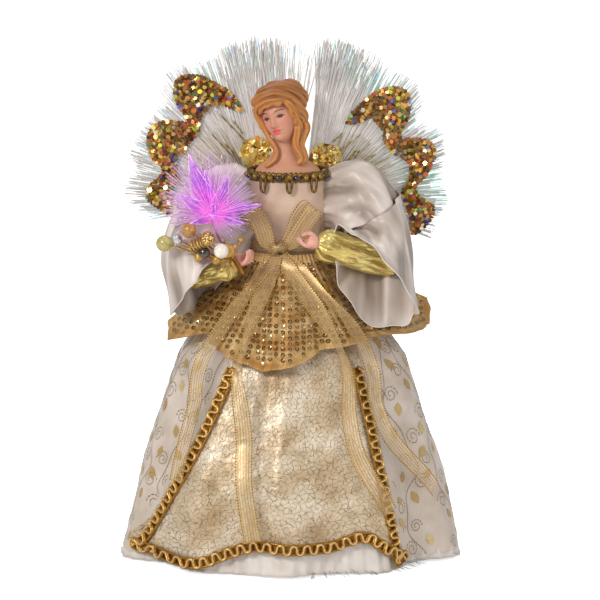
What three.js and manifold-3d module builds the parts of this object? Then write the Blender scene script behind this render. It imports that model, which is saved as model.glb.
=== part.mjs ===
// Angel tree topper with lit fibre wings, millimetres, +Z up, front towards -Y.
import * as THREE from 'three';
import { mergeVertices } from 'three/addons/utils/BufferGeometryUtils.js';
import Module from 'manifold-3d';

const wasm = await Module();
wasm.setup();

// Fits and cloth
const CLEARANCE = 0.3;
const MERGE_TOLERANCE = 1e-4;
const CLOTH = 0.8;
const LAYER_GAP = 0.45;

// Facets round a turned piece
const ROUND_SIDES = 16;
const PIN_SIDES = 12;
const LIMB_SIDES = 8;
const WIRE_SIDES = 4;

// Skirt and cone
const WAIST_HEIGHT = 183;
const SKIRT_RADIUS = 92;
const SKIRT_FOLDS = 10;
const SKIRT_COLUMNS = 50;
const FOLD_DEPTH = 4;
const UNDERSKIRT_LIFT = 0.6;
const OVERSKIRT_LIFT = 3;
const CONE_WALL = 1.6;
const CONE_GAP = 2.5;
const CONE_SEGMENTS = 16;
const CONE_MOUTH_GAP = 3;
const CONE_TOP_SHARE = 0.945;
const SKIRT_PROFILE = [
  [0, 1], [0.29, 0.93], [0.415, 0.85], [0.66, 0.705], [0.82, 0.47], [0.945, 0.255], [1, 0.195],
];

// Peplum hem: angle from the front in degrees, drop below the waist, flare beyond the skirt
const PEPLUM_ROWS = 3;
const PEPLUM_FOLD = 2.2;
const PEPLUM_FLARE_CURVE = 1.3;
const PEPLUM_HEM = [
  [-180, 50, 8], [-140, 43, 10], [-108, 36, 16], [-84, 42, 15], [-72, 52, 6], [-54, 45, 5],
  [-36, 50, 4], [-24, 58, 4], [-12, 62, 4], [6, 57, 4], [18, 51, 4], [36, 48, 4], [60, 47, 5],
  [78, 47, 12], [90, 46, 20], [102, 33, 28], [126, 40, 14], [150, 44, 10], [180, 50, 8],
];

// Front panel outline seen from the front, x and height, for a skirt of this radius and height
const PANEL_SKIRT = 92;
const PANEL_HEIGHT = 183;
const PANEL_TOP_SHARE = 0.945;
const PANEL_COLUMNS_LEFT = 11;
const PANEL_COLUMNS_RIGHT = 7;
const BRAID_WIDTH = 6.5;
const BRAID_THICKNESS = 1.8;
const PANEL_OUTLINE = [
  [-28, 170], [-36, 122], [-50, 89], [-72, 45], [-91, 9], [-79, 5], [-65, 4], [-50, 5], [-34, 11], [-18, 16],
  [3, 15], [25, 15], [36, 18], [46, 20], [58, 12], [69, 4.5], [62, 40], [54, 77], [44, 121], [28, 170],
];

// Torso and bodice, heights above the waist
const BODY_WIDTH = 1.2;
const BODY_DEPTH = 0.9;
const BODY_COLUMNS = 20;
const BODICE_PROFILE = [[0.5, 17.6], [10, 17.8], [25, 19.6], [38, 18.8], [46, 17.9]];
const TORSO_BORE = 8.5;
const TORSO_TOP = 42;
const TORSO_NECK = 10;
const SASH_HEIGHT = 6;

// Head, heights above the waist
const SKULL = [-3.5, 0, 84.5];
const SKULL_SIZE = [12.6, 14.2, 14.8];
const JAW_DROP = 8.6;
const JAW_FORWARD = 3.2;
const JAW_SIZE = [9.2, 10, 10.2];
const FACE_TURN = 0.42;
const NECK_RADIUS = 6.6;
const NECK_FOOT = [-1, 1, 50];
// Shoulder plate: radius and height, from its rim to the foot of the neck
const SHOULDERS = [[17, 44.5], [14, 48.5], [9, 53], [6.6, 57]];
const SHOULDER_RIM = 16.6;
const SHOULDER_TOP = 58;
const NOSE_SIZE = [1.6, 2.2, 2.4];
const NOSE_SINK = 0.6;
const NOSE_DROP = 4.5;
const HAIR_CENTRE = [-2.5, 2.8, 87.4];
const HAIR_SIZE = [17, 16.4, 14.2];
const FACE_OPENING = [11.5, 10, 13.5];
const OPENING_FORWARD = 13.5;
const OPENING_DROP = 7;
const HAIR_BUN = [4, 10, 93];
const HAIR_BUN_SIZE = [8.5, 8.5, 8];
const HAIR_LOCKS = [
  { path: [[-18, -6, 82], [-14, -12, 90], [-4, -15, 95], [6, -11, 92], [12, -5, 84]], radius: 3.6, steps: 7 },
  { path: [[11, -3, 86], [13.5, -6, 74], [12, -9, 62], [9, -13, 52]], radius: 3.4, steps: 5 },
  { path: [[-17.5, -3, 85], [-18, -8, 74], [-15, -11, 64], [-12, -14, 54]], radius: 3, steps: 5 },
];
const LOCK_SIDES = 3;

// Neck trim: ring on the bodice edge, drops at these angles from the front in degrees
const TRIM_RADIUS = 1.5;
const TRIM_LIFT = 1.6;
const TRIM_GROW = 1;
const TRIM_SIDES = 6;
const DROP_ANGLES = [-34, 2, 36];
const DROP_STANDOFF = 2.6;
const DROP_ROOT_SHARE = 0.94;
const DROP_LENGTH = 8;
const DROP_LEAN = 0.6;
const DROP_WIRE = 0.75;
const DROP_SIZE = [1.6, 1.5, 2.2];

// Arms and sleeves, points above the waist
const ARM_RADIUS = 4.5;
const CUFF_RADIUS = 9.2;
const CUFF_RUCK = 0.8;
const CUFF_RUCKS = 6;
const CUFF_TAPER = 0.15;
const CUFF_SPAN = [0.24, 0.94];
const CUFF_EDGE = 0.02;
const PALM_LENGTH = 6;
const PALM_RADIUS = 4.2;
const PALM_GAP = 0.2;
// Fingers: along the hand, up and out from the palm, with the pitch between them
const FINGER_RANKS = [-1.5, -0.5, 0.5, 1.5];
const FINGER_START = 3;
const FINGER_END = 10;
const FINGER_PITCH = 2.2;
const FINGERTIP_PITCH = 1.9;
const FINGERTIP_OUT = 0.6;
const FINGER_RADII = [1.4, 1];
const FINGER_SIDES = 5;
const THUMB_START = [-1, 2.5, 1];
const THUMB_END = [6, 6.5, 2];
const HAND_DROOP = { left: -1, right: 0 };
const RIGHT_ARM = [[26, 0, 36], [58, -16, -4], [20, -31, 7.5]];
const LEFT_ARM = [[-26, 0, 36], [-54.5, -17, -11], [-34, -33, -3]];
const SLEEVE_COLUMNS = 16;
const SLEEVE_ROWS = 7;
const SLEEVE_RIPPLE = 0.07;
const SLEEVE_RIPPLES = 6;
const RIGHT_SLEEVE = [
  { outer: [34, 2, 48], inner: [27, 2, 20], depth: [0, 12, 0] },
  { outer: [47, 1, 47], inner: [30, -2, 15], depth: [-2, 17, 0] },
  { outer: [66, -4, 33], inner: [33.5, -8, 13.5], depth: [-3, 19, 0] },
  { outer: [75, -12, 4], inner: [35.5, -15, 14], depth: [-5, 20, 0] },
  { outer: [71, -30, -43], inner: [33, -26, 15.5], depth: [-5, 22, 2] },
];
const LEFT_SLEEVE = [
  { outer: [-33, 2, 47], inner: [-27, 2, 18], depth: [0, 12, 0] },
  { outer: [-46, 1, 44], inner: [-30, -2, 11], depth: [2, 17, 0] },
  { outer: [-63, -4, 26], inner: [-33.5, -9, 7], depth: [3, 19, 0] },
  { outer: [-71, -12, -2], inner: [-36, -16, 7], depth: [5, 20, 0] },
  { outer: [-66, -26, -33], inner: [-37, -27, 10.5], depth: [5, 22, 2] },
];

// Bow and ribbon tails
const RIBBON_WIDTH = 10;
const RIBBON = 0.5;
const KNOT = [-6, -21, 4.2];
const KNOT_SIZE = [5, 4.2, 3.8];
const BOW_LOOPS = { left: [-15, 27], right: [20, 25] };
const BOW_REACH = 4.6;
const LOOP_COLUMNS = 2;
const LOOP_ROWS = 14;
// Loop path as shares: towards the tip, forward of the seat, up the loop
const LOOP_PATH = [
  [0, 1, 0], [0.6, 1.22, 0.5], [1, 1, 0.92], [1, 0.5, 1], [1, 0.2, 0.9], [0.5, 0.4, 0.5], [0, 0, 0],
];
const TAIL_ROWS = 12;
const TAIL_CLEAR = 2;
// Below the peplum hem a tail falls back to the skirt between these shares of the drop
const TAIL_FALL = [1.1, 1.7];
// Tail paths: angle from the front in degrees, drop below the waist
const RIBBON_TAILS = [
  [[-18, 9], [-22, 30], [-22, 58], [-18, 92], [-16, 125], [-12, 160]],
  [[-32, 12], [-36, 30], [-40, 60], [-43, 104], [-43, 128]],
  [[7, 9], [20, 30], [26, 58], [27, 108], [38, 146]],
  [[24, 12], [35, 32], [38, 62], [42, 100], [62, 138]],
];

// Star flower and beads, points above the waist
const STAR = [-45, -37, 27.5];
const STAR_CORE = 4;
const PETAL_TAPER = 0.11;
const PETAL_ROOT = 1;
const PETAL_SIDES = 5;
const STAR_PETALS = [
  [-14, -3, 36], [-4, -6, 27], [10, -5, 23], [29, -4, 6],
  [19, -8, -5], [-13, -8, -5], [-20, -6, 12], [2, -12, 8],
];
const STEM_RADIUS = 1.2;
const STEM_STEPS = 10;
const STEM_PATH = [[-26.5, -42.9, -8], [-29, -42.7, -4], [-38, -40.5, 9], [-43, -38.5, 18]];
const SPRAY_ROOT = [-34, -43.9, 0];
const SPRAY_FOOT = [-30.5, -44.9, -6.5];
const SPRAY_TAIL_RADIUS = 1.1;
const WIRE_RADIUS = 0.6;
const BEADS = [
  { name: 'bead_yellow', at: [-74, -43, 9], radius: 4.6, colour: 0xb8b048, roughness: 0.25, metalness: 0 },
  {
    name: 'bead_silver', at: [-66, -39.5, 12.5], radius: 3.3,
    colour: 0xc8ccd2, roughness: 0.3, metalness: 0.8,
  },
  { name: 'bead_amber', at: [-59, -43, 17], radius: 4.5, colour: 0xb87420, roughness: 0.2, metalness: 0.1 },
  { name: 'bead_berry', at: [-49, -50.8, 13], radius: 4, colour: 0xa07828, roughness: 0.4, metalness: 0.7 },
  { name: 'bead_dark', at: [-50.5, -50, 4.2], radius: 3.6, colour: 0x5a5650, roughness: 0.2, metalness: 0.8 },
  { name: 'bead_pearl', at: [-40, -51.8, 6.5], radius: 4.5, colour: 0xe8e0d0, roughness: 0.18, metalness: 0 },
];
// The berry hangs on a short branch of the amber bead's wire
const BRANCHED_BEAD = 3;
const BRANCH_BEAD = 2;
const BRANCH_SHARE = 0.6;
const BRASS_BALLS = [[-44, -48.5, -2], [-55, -49, -1]];
const BRASS_RADIUS = 2.2;

// Wings, heights above the waist
const WING_ROOT_X = 17;
const WING_ROOT_HEIGHT = 26;
const HINGE_X = 11;
const HINGE_Y = 22;
const HINGE_HEIGHT = 27;
const PIN_RADIUS = 1.2;
const KNUCKLE_RADIUS = 3;
const KNUCKLE_HALF = 3.7;
const LUG_HEIGHT = 3;
const BRACKET_HALF = 12;
const BRACKET_WALL = 1.5;
const FAN_FRONT = 23;
const FAN_LAYERS = 4;
const FAN_PITCH = 1.2;
const FAN_INNER = 7;
const FAN_OUTER = 13;
const STRANDS_PER_LAYER = 33;
const STRAND_RADIUS = 0.3;
const STRAND_JITTER = 0.05;
const BACKING_STEPS = 12;
const BACKING_MARGIN = 3;
const HINGE_WEB = 1.5;
const HINGE_OVERRUN = 1;
const GLITTER_THICKNESS = 0.8;
const ROSETTE_RADIUS = 9;
const ROSETTE_THICKNESS = 1.8;
const LEFT_ROSETTE = [-19, 55];
const RIGHT_ROSETTE = [22, 51];
// Fan tips: angle in degrees from +X, reach from the wing root
const LEFT_FAN = [
  [85, 95], [97, 98], [102, 97], [108, 90], [116, 91], [122, 96], [126, 95], [130, 91], [132, 85], [138, 82],
  [146, 83], [153, 83], [162, 83], [165, 78], [179, 82], [190, 67],
];
const RIGHT_FAN = [
  [-20, 74], [-10, 74], [-2, 80], [9, 76], [17, 81], [24, 86], [30, 86], [38, 75], [43, 88], [50, 94],
  [55, 92], [59, 91], [65, 94], [70, 96], [75, 97], [83, 99], [90, 95],
];
// Glitter scrolls: x and height above the waist
const LEFT_GLITTER = [
  [-28, 81], [-32, 87.5], [-37.5, 93], [-44.5, 97], [-52, 100.5], [-61, 101.5], [-66, 99], [-68, 92.5],
  [-67, 86.5], [-64, 81], [-61, 76.5], [-59, 72.5], [-66, 73], [-73, 73.5], [-78.5, 72], [-82.5, 68],
  [-84, 62.5], [-83.5, 57], [-81, 51.5], [-76, 47], [-75, 42], [-78.5, 38], [-82.5, 35], [-85, 30],
  [-84, 26.5], [-80, 23], [-74, 19], [-68, 15.5], [-63, 14], [-62, 17], [-66, 22], [-69, 27],
  [-70, 32], [-67, 38], [-66, 43], [-68, 48], [-67, 52.5], [-63.5, 56], [-60, 59.5], [-57, 63.5],
  [-54, 68], [-53.5, 73.5], [-52, 77], [-49.5, 80.5], [-45.5, 84], [-40, 84.5], [-34, 82],
];
const RIGHT_GLITTER = [
  [35.5, 73], [39, 79], [43, 83], [48, 87.5], [53.5, 91.5], [59.5, 93.5], [65.5, 94], [70, 92],
  [72.5, 88], [73, 82.5], [72, 76.5], [69.5, 71.5], [67, 66], [69, 61.5], [73, 63], [79, 62.5],
  [85, 61], [88, 56], [87.5, 50.5], [85, 45.5], [82, 40.5], [78, 36.5], [75.5, 32.5], [80.5, 26.5],
  [87.5, 21], [85.5, 14], [81, 9], [75.5, 5], [74, 10], [73, 18], [70.5, 25],
  [69, 29.5], [70, 34], [73, 39], [73.5, 43], [74, 47], [71.5, 50], [67.5, 53], [62.5, 55],
  [60, 58.5], [58, 63], [58, 67.5], [55.5, 70.5], [53, 74], [50, 76.5], [45.5, 75], [40.5, 73],
];

// Star fibre spray
const SPRAY_STRANDS = 20;
const SPRAY_LAYERS = 3;
const SPRAY_INNER = 4;
const SPRAY_OUTER = 7;
const SPRAY_FAN = [[12, 22], [40, 27], [80, 36], [110, 40], [140, 36], [175, 30], [205, 24]];

// Light, power and tree socket
const PLATE_HEIGHT = 70;
const PLATE_THICKNESS = 2;
const BRANCH_RADIUS = 12.4;
const BRANCH_WALL = 1.6;
const BRANCH_LIFT = 6;
const LIGHT_RADIUS = 16;
const LIGHT_HEIGHT = 30;
const LIGHT_WALL = 1.6;
const BOARD_THICKNESS = 1.6;
const LAMP_RADIUS = 4;
// Lamp dome: radius and height as shares of the lamp radius
const LAMP_DOME = [[1, 0], [1, 1], [0.5, 1.8], [0, 2]];
const TRUNK_RADIUS = 5;
const TRUNK_START = 90;
const TRUNK_STEPS = 12;
const TRUNK_SIDES = 5;
// Trunk path above its start: heights from the waist
const TRUNK_PATH = [[0, 0, -40], [0, 0, -22], [0, 3, -7], [0, 10, 4], [0, 21, 10]];
const CELL_RADIUS = 5.1;
const CELL_LENGTH = 43;
const CELL_NUB = 1.2;
const CELL_COUNT = 3;
const CONTACT_THICKNESS = 0.6;
const BOX_WALL = 1.5;
const BOX_FRONT = 15;
const SWITCH_STRIP = 8;
const DOOR_THICKNESS = 1.6;
const DOOR_PIN = 0.55;
const DOOR_LUG = 1.6;
const SWITCH_TRAVEL = 4;
const SWITCH_KNOB = [4, 3, 3.4];
const SWITCH_FLANGE = [6, 4.6, 1.2];

// Colours
const SATIN = 0xe4dcd0;
const GOLD = 0xb08a3c;
const SKIN = 0xd0a080;
const FIBRE = 0xd8d6d2;
const PLASTIC = 0xe2ded6;

const DEGREE = Math.PI / 180;
const topper = new THREE.Group();
topper.name = 'angel_tree_topper';

// Helpers
const vector = (p) => new THREE.Vector3(p[0], p[1], p[2]);
const mix = (a, b, t) => a + (b - a) * t;

function table(rows, x) {
  let k = 1;
  while (k < rows.length - 1 && x > rows[k][0]) k += 1;
  const [x0, ...a] = rows[k - 1];
  const [x1, ...b] = rows[k];
  const t = Math.min(1, Math.max(0, (x - x0) / (x1 - x0)));
  return a.map((value, n) => mix(value, b[n], t));
}

function jitter(n) {
  const wave = Math.sin(n * 12.9898) * 43758.5453;
  return wave - Math.floor(wave);
}

function solid(geometry) {
  const bare = new THREE.BufferGeometry();
  bare.setAttribute('position', geometry.getAttribute('position'));
  bare.setIndex(geometry.index);
  const merged = mergeVertices(bare, MERGE_TOLERANCE);
  const points = Float32Array.from(merged.getAttribute('position').array);
  const corners = [];
  let volume = 0;
  for (let i = 0; i < merged.index.count; i += 3) {
    const abc = [0, 1, 2].map((k) => merged.index.getX(i + k));
    if (abc[0] === abc[1] || abc[1] === abc[2] || abc[2] === abc[0]) continue;
    const [a, b, c] = abc.map((k) => new THREE.Vector3().fromArray(points, k * 3));
    volume += a.dot(b.cross(c));
    corners.push(abc);
  }
  const faces = corners.flatMap(([a, b, c]) => (volume < 0 ? [a, c, b] : [a, b, c]));
  const mesh = new wasm.Mesh({ numProp: 3, vertProperties: points, triVerts: Uint32Array.from(faces) });
  return new wasm.Manifold(mesh);
}

const union = (bodies) => wasm.Manifold.union(bodies);

function add(name, body, colour, roughness, metalness, lift = 0) {
  const mesh = body.getMesh();
  const geometry = new THREE.BufferGeometry();
  geometry.setAttribute('position', new THREE.BufferAttribute(Float32Array.from(mesh.vertProperties), 3));
  geometry.setIndex(new THREE.BufferAttribute(Uint32Array.from(mesh.triVerts), 1));
  geometry.computeVertexNormals();
  const material = new THREE.MeshStandardMaterial({ color: colour, roughness, metalness });
  const part = new THREE.Mesh(geometry, material);
  part.name = name;
  part.position.set(0, 0, lift);
  topper.add(part);
}

const addUpper = (name, body, colour, roughness, metalness) =>
  add(name, body, colour, roughness, metalness, WAIST_HEIGHT);

function lathe(profile, segments, width = 1, depth = 1) {
  const points = profile.map(([r, z]) => new THREE.Vector2(r, z));
  const geometry = new THREE.LatheGeometry(points, segments);
  geometry.rotateX(Math.PI / 2);
  geometry.scale(width, depth, 1);
  return geometry;
}

const block = (low, high) => {
  const size = high.map((value, k) => value - low[k]);
  const geometry = new THREE.BoxGeometry(size[0], size[1], size[2]);
  geometry.translate((low[0] + high[0]) / 2, (low[1] + high[1]) / 2, (low[2] + high[2]) / 2);
  return solid(geometry);
};

function ball(centre, size, columns = 10, rows = 8) {
  const geometry = new THREE.SphereGeometry(1, columns, rows);
  geometry.rotateX(Math.PI / 2);
  geometry.scale(size[0], size[1], size[2]);
  geometry.translate(centre[0], centre[1], centre[2]);
  return solid(geometry);
}

// Turns a shape built along +Y so that it runs from one point to another
function aim(geometry, from, to) {
  const start = vector(from);
  const way = vector(to).sub(start);
  const turn = new THREE.Quaternion().setFromUnitVectors(new THREE.Vector3(0, 1, 0), way.normalize());
  geometry.applyQuaternion(turn);
  geometry.translate(start.x, start.y, start.z);
  return geometry;
}

function rod(from, to, startRadius, endRadius, sides) {
  const length = vector(from).distanceTo(vector(to));
  const geometry = new THREE.CylinderGeometry(endRadius, startRadius, length, sides);
  geometry.translate(0, length / 2, 0);
  return solid(aim(geometry, from, to));
}

function needle(from, to, radius) {
  const length = vector(from).distanceTo(vector(to));
  const geometry = new THREE.ConeGeometry(radius, length, 3);
  geometry.translate(0, length / 2, 0);
  return solid(aim(geometry, from, to));
}

function egg(centre, way, long, short) {
  const geometry = new THREE.SphereGeometry(1, 8, 6);
  geometry.scale(short, long, short);
  const tip = vector(centre).add(way);
  return solid(aim(geometry, centre, tip.toArray()));
}

function tube(points, radius, steps, sides) {
  const outline = new THREE.Shape();
  outline.absarc(0, 0, radius, 0, 2 * Math.PI, false);
  const path = new THREE.CatmullRomCurve3(points.map(vector));
  const geometry = new THREE.ExtrudeGeometry(outline, { steps, curveSegments: sides, extrudePath: path });
  return solid(geometry);
}

// A flat outline in x and height, thickened along Y
function plate(points, front, back) {
  const outline = new THREE.Shape(points.map(([x, z]) => new THREE.Vector2(x, z)));
  const geometry = new THREE.ExtrudeGeometry(outline, { depth: back - front, bevelEnabled: false });
  geometry.rotateX(Math.PI / 2);
  geometry.translate(0, back, 0);
  return solid(geometry);
}

// A cloth shell: at(u, v, side) gives the point of the inner (0) or outer (1) face
function sheet(at, across, along, closed) {
  const columns = closed ? across : across + 1;
  const positions = [];
  const index = [];
  for (let i = 0; i < columns; i += 1) {
    for (let j = 0; j <= along; j += 1) {
      positions.push(...at(i / across, j / along, 0), ...at(i / across, j / along, 1));
    }
  }
  const id = (i, j, side) => ((i % columns) * (along + 1) + j) * 2 + side;
  const quad = (a, b, c, d) => index.push(a, b, c, a, c, d);
  for (let i = 0; i < across; i += 1) {
    for (let j = 0; j < along; j += 1) {
      quad(id(i, j, 1), id(i + 1, j, 1), id(i + 1, j + 1, 1), id(i, j + 1, 1));
      quad(id(i, j, 0), id(i, j + 1, 0), id(i + 1, j + 1, 0), id(i + 1, j, 0));
    }
    quad(id(i, 0, 0), id(i + 1, 0, 0), id(i + 1, 0, 1), id(i, 0, 1));
    quad(id(i, along, 1), id(i + 1, along, 1), id(i + 1, along, 0), id(i, along, 0));
  }
  for (let j = 0; j < along && !closed; j += 1) {
    quad(id(0, j, 1), id(0, j + 1, 1), id(0, j + 1, 0), id(0, j, 0));
    quad(id(across, j, 0), id(across, j + 1, 0), id(across, j + 1, 1), id(across, j, 1));
  }
  const geometry = new THREE.BufferGeometry();
  geometry.setAttribute('position', new THREE.Float32BufferAttribute(positions, 3));
  geometry.setIndex(index);
  return solid(geometry);
}

const around = (angle, radius, z) => [radius * Math.sin(angle), -radius * Math.cos(angle), z];

// Skirt surface: the profile with folds that deepen towards the hem
const foldEase = (z) => 1 - z / WAIST_HEIGHT;
const skirtProfile = (z) => SKIRT_RADIUS * table(SKIRT_PROFILE, z / WAIST_HEIGHT)[0];
const skirtFold = (angle, z) => FOLD_DEPTH * foldEase(z) * Math.cos(SKIRT_FOLDS * angle);
const skirtRadius = (angle, z) => skirtProfile(z) + skirtFold(angle, z);
const skirtCrest = (z) => skirtProfile(z) + FOLD_DEPTH * foldEase(z);
const coneRadius = (z) => skirtProfile(z) - (FOLD_DEPTH + CONE_GAP) * foldEase(z) - CLEARANCE;
const rowHeights = (top, lift) => SKIRT_PROFILE.map(([share]) => share * WAIST_HEIGHT)
  .filter((z) => z <= top * WAIST_HEIGHT + CLEARANCE)
  .map((z) => Math.max(z, lift));

// Layers lie over one another; above the underskirt they close in on the cone
const coneTop = CONE_TOP_SHARE * WAIST_HEIGHT;
const flounceTop = SKIRT_PROFILE[2][0];
const flounceHeight = flounceTop * WAIST_HEIGHT;
const layerStep = CLOTH + LAYER_GAP;
const flounceLift = (z) => layerStep * Math.min(1, (coneTop - z) / (coneTop - flounceHeight));
const panelOffset = layerStep;
const braidOffset = panelOffset + layerStep;
const peplumOffset = braidOffset + layerStep + LAYER_GAP;
const tailOffset = braidOffset + layerStep + BRAID_THICKNESS + LAYER_GAP;

function skirtLayer(heights, offset, thickness, from, to, columns, closed) {
  const at = (u, v, side) => {
    const angle = mix(from, to, u);
    const z = heights[Math.round(v * (heights.length - 1))];
    return around(angle, skirtRadius(angle, z) + offset(z) + side * thickness, z);
  };
  return sheet(at, columns, heights.length - 1, closed);
}

// Skirt former, a base ring under a closed cone, then the chassis plate and tree socket
const coneRows = rowHeights(CONE_TOP_SHARE, 0);
const ringTop = PLATE_HEIGHT - CLEARANCE / 2;
const ringRows = [...coneRows.filter((z) => z < ringTop), ringTop];
const ringOutside = ringRows.map((z) => [coneRadius(z), z]);
const ringInside = ringOutside.map(([r, z]) => [r - CONE_WALL, z]);
const ringProfile = [...ringOutside, ...ringInside.reverse(), ringOutside[0]];
add('base_ring', solid(lathe(ringProfile, CONE_SEGMENTS)), PLASTIC, 0.6, 0);

const coneFoot = ringTop + CLEARANCE;
const coneMouth = TRUNK_RADIUS + CONE_MOUTH_GAP;
const coneOutside = [coneFoot, ...coneRows.filter((z) => z > coneFoot)].map((z) => [coneRadius(z), z]);
const coneInside = coneOutside.map(([r, z]) => [r - CONE_WALL, z === coneTop ? z - CONE_WALL : z]);
const mouthEdge = [[coneMouth, coneTop], [coneMouth, coneTop - CONE_WALL]];
const coneProfile = [...coneOutside, ...mouthEdge, ...coneInside.reverse(), coneOutside[0]];
add('body_cone', solid(lathe(coneProfile, CONE_SEGMENTS)), PLASTIC, 0.6, 0);

const plateTop = PLATE_HEIGHT + PLATE_THICKNESS;
const plateRadius = coneRadius(plateTop) - CONE_WALL - CLEARANCE;
const plateProfile = [[0, PLATE_HEIGHT], [plateRadius, PLATE_HEIGHT], [plateRadius, plateTop], [0, plateTop]];
add('chassis_plate', solid(lathe(plateProfile, CONE_SEGMENTS)), PLASTIC, 0.6, 0);

const socketTop = PLATE_HEIGHT - CLEARANCE;
const socketOuter = BRANCH_RADIUS + BRANCH_WALL;
const socketProfile = [
  [BRANCH_RADIUS, BRANCH_LIFT], [socketOuter, BRANCH_LIFT],
  [socketOuter, socketTop], [BRANCH_RADIUS, socketTop], [BRANCH_RADIUS, BRANCH_LIFT],
];
add('branch_tube', solid(lathe(socketProfile, CONE_SEGMENTS)), PLASTIC, 0.6, 0);

// Light housing, lamp board, lamp and fibre trunk
const lightFoot = plateTop + CLEARANCE;
const lightTop = lightFoot + LIGHT_HEIGHT;
const lightBore = LIGHT_RADIUS - LIGHT_WALL;
const collar = TRUNK_RADIUS + CLEARANCE;
const lightProfile = [
  [lightBore, lightFoot], [LIGHT_RADIUS, lightFoot], [LIGHT_RADIUS, lightTop], [collar, lightTop],
  [collar, lightTop - LIGHT_WALL], [lightBore, lightTop - LIGHT_WALL], [lightBore, lightFoot],
];
add('light_housing', solid(lathe(lightProfile, ROUND_SIDES)), 0x3a3a3c, 0.5, 0);
const boardTop = lightFoot + BOARD_THICKNESS;
const boardRadius = lightBore - CLEARANCE;
const boardProfile = [[0, lightFoot], [boardRadius, lightFoot], [boardRadius, boardTop], [0, boardTop]];
add('lamp_board', solid(lathe(boardProfile, ROUND_SIDES)), 0x2e6b3a, 0.5, 0);
const lampFoot = boardTop + CLEARANCE;
const lampDome = LAMP_DOME.map(([r, rise]) => [r * LAMP_RADIUS, lampFoot + rise * LAMP_RADIUS]);
add('lamp', solid(lathe([[0, lampFoot], ...lampDome], ROUND_SIDES)), 0xf4f4ff, 0.15, 0);

const trunkPath = [[0, 0, TRUNK_START - WAIST_HEIGHT], ...TRUNK_PATH];
const trunk = (grow) => tube(trunkPath, TRUNK_RADIUS + grow, TRUNK_STEPS, TRUNK_SIDES);
addUpper('fibre_trunk', trunk(0), FIBRE, 0.3, 0);

// Battery box, cells, contacts, door and switch under the chassis plate
const boxTop = PLATE_HEIGHT - CLEARANCE;
const cellPitch = 2 * CELL_RADIUS + CLEARANCE;
const cavityHalf = CELL_LENGTH / 2 + CELL_NUB + CONTACT_THICKNESS + 2 * CLEARANCE;
const boxHalf = cavityHalf + BOX_WALL;
const cavityFront = BOX_FRONT + SWITCH_STRIP;
const cavityBack = cavityFront + CELL_COUNT * cellPitch + CLEARANCE;
const boxBack = cavityBack + BOX_WALL;
const boxFoot = boxTop - BOX_WALL - 2 * CELL_RADIUS - 2 * CLEARANCE;
const doorTop = boxFoot - CLEARANCE;
const hingeRadius = DOOR_THICKNESS / 2;
const hingeHeight = doorTop - hingeRadius;
const hingeBack = boxBack - hingeRadius;
const switchMiddle = BOX_FRONT + SWITCH_STRIP / 2;
const flangeFoot = boxFoot + BOX_WALL;
const slot = (size, grow, low, high) => block(
  [-size[0] / 2 - grow, switchMiddle - size[1] / 2 - grow, low],
  [size[0] / 2 + grow + SWITCH_TRAVEL, switchMiddle + size[1] / 2 + grow, high],
);
const lugs = [-1, 1].map((side) => {
  const near = side * (boxHalf + CLEARANCE);
  const far = near + side * DOOR_LUG;
  const root = side * cavityHalf;
  const lugFront = hingeBack - DOOR_LUG;
  const lugTop = boxFoot + BOX_WALL;
  const lug = block(
    [Math.min(near, far), lugFront, hingeHeight - DOOR_LUG], [Math.max(near, far), boxBack, lugTop],
  );
  const web = block([Math.min(root, far), lugFront, boxFoot], [Math.max(root, far), boxBack, lugTop]);
  return union([lug, web]);
});
const pinBore = rod(
  [-2 * boxHalf, hingeBack, hingeHeight], [2 * boxHalf, hingeBack, hingeHeight],
  DOOR_PIN + CLEARANCE, DOOR_PIN + CLEARANCE, PIN_SIDES,
);
const batteryBox = union([block([-boxHalf, BOX_FRONT, boxFoot], [boxHalf, boxBack, boxTop]), ...lugs])
  .subtract(block(
    [-cavityHalf, cavityFront, boxFoot - DOOR_THICKNESS], [cavityHalf, cavityBack, boxTop - BOX_WALL],
  ))
  .subtract(slot(SWITCH_KNOB, CLEARANCE, boxFoot - BOX_WALL, flangeFoot + CLEARANCE))
  .subtract(slot(SWITCH_FLANGE, CLEARANCE, flangeFoot, flangeFoot + SWITCH_FLANGE[2] + 2 * CLEARANCE))
  .subtract(pinBore);
add('battery_box', batteryBox, 0x2c2c2e, 0.5, 0);

const doorHalf = boxHalf - CLEARANCE;
const pinReach = boxHalf + CLEARANCE + DOOR_LUG;
const doorPieces = [
  block([-doorHalf, cavityFront + CLEARANCE, doorTop - DOOR_THICKNESS], [doorHalf, hingeBack, doorTop]),
  rod(
    [-doorHalf, hingeBack, hingeHeight], [doorHalf, hingeBack, hingeHeight],
    hingeRadius, hingeRadius, PIN_SIDES,
  ),
  rod([-pinReach, hingeBack, hingeHeight], [pinReach, hingeBack, hingeHeight], DOOR_PIN, DOOR_PIN, PIN_SIDES),
];
add('battery_door', union(doorPieces), 0x2c2c2e, 0.5, 0);

const switchBlock = (size, low, high) => block(
  [-size[0] / 2, switchMiddle - size[1] / 2, low], [size[0] / 2, switchMiddle + size[1] / 2, high],
);
const flangeLow = flangeFoot + CLEARANCE;
const knobLow = boxFoot - SWITCH_KNOB[2] + BOX_WALL;
add('switch_slider', union([
  switchBlock(SWITCH_KNOB, knobLow, flangeLow + CLEARANCE),
  switchBlock(SWITCH_FLANGE, flangeLow, flangeLow + SWITCH_FLANGE[2]),
]), 0x8a8a8c, 0.5, 0);

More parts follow.
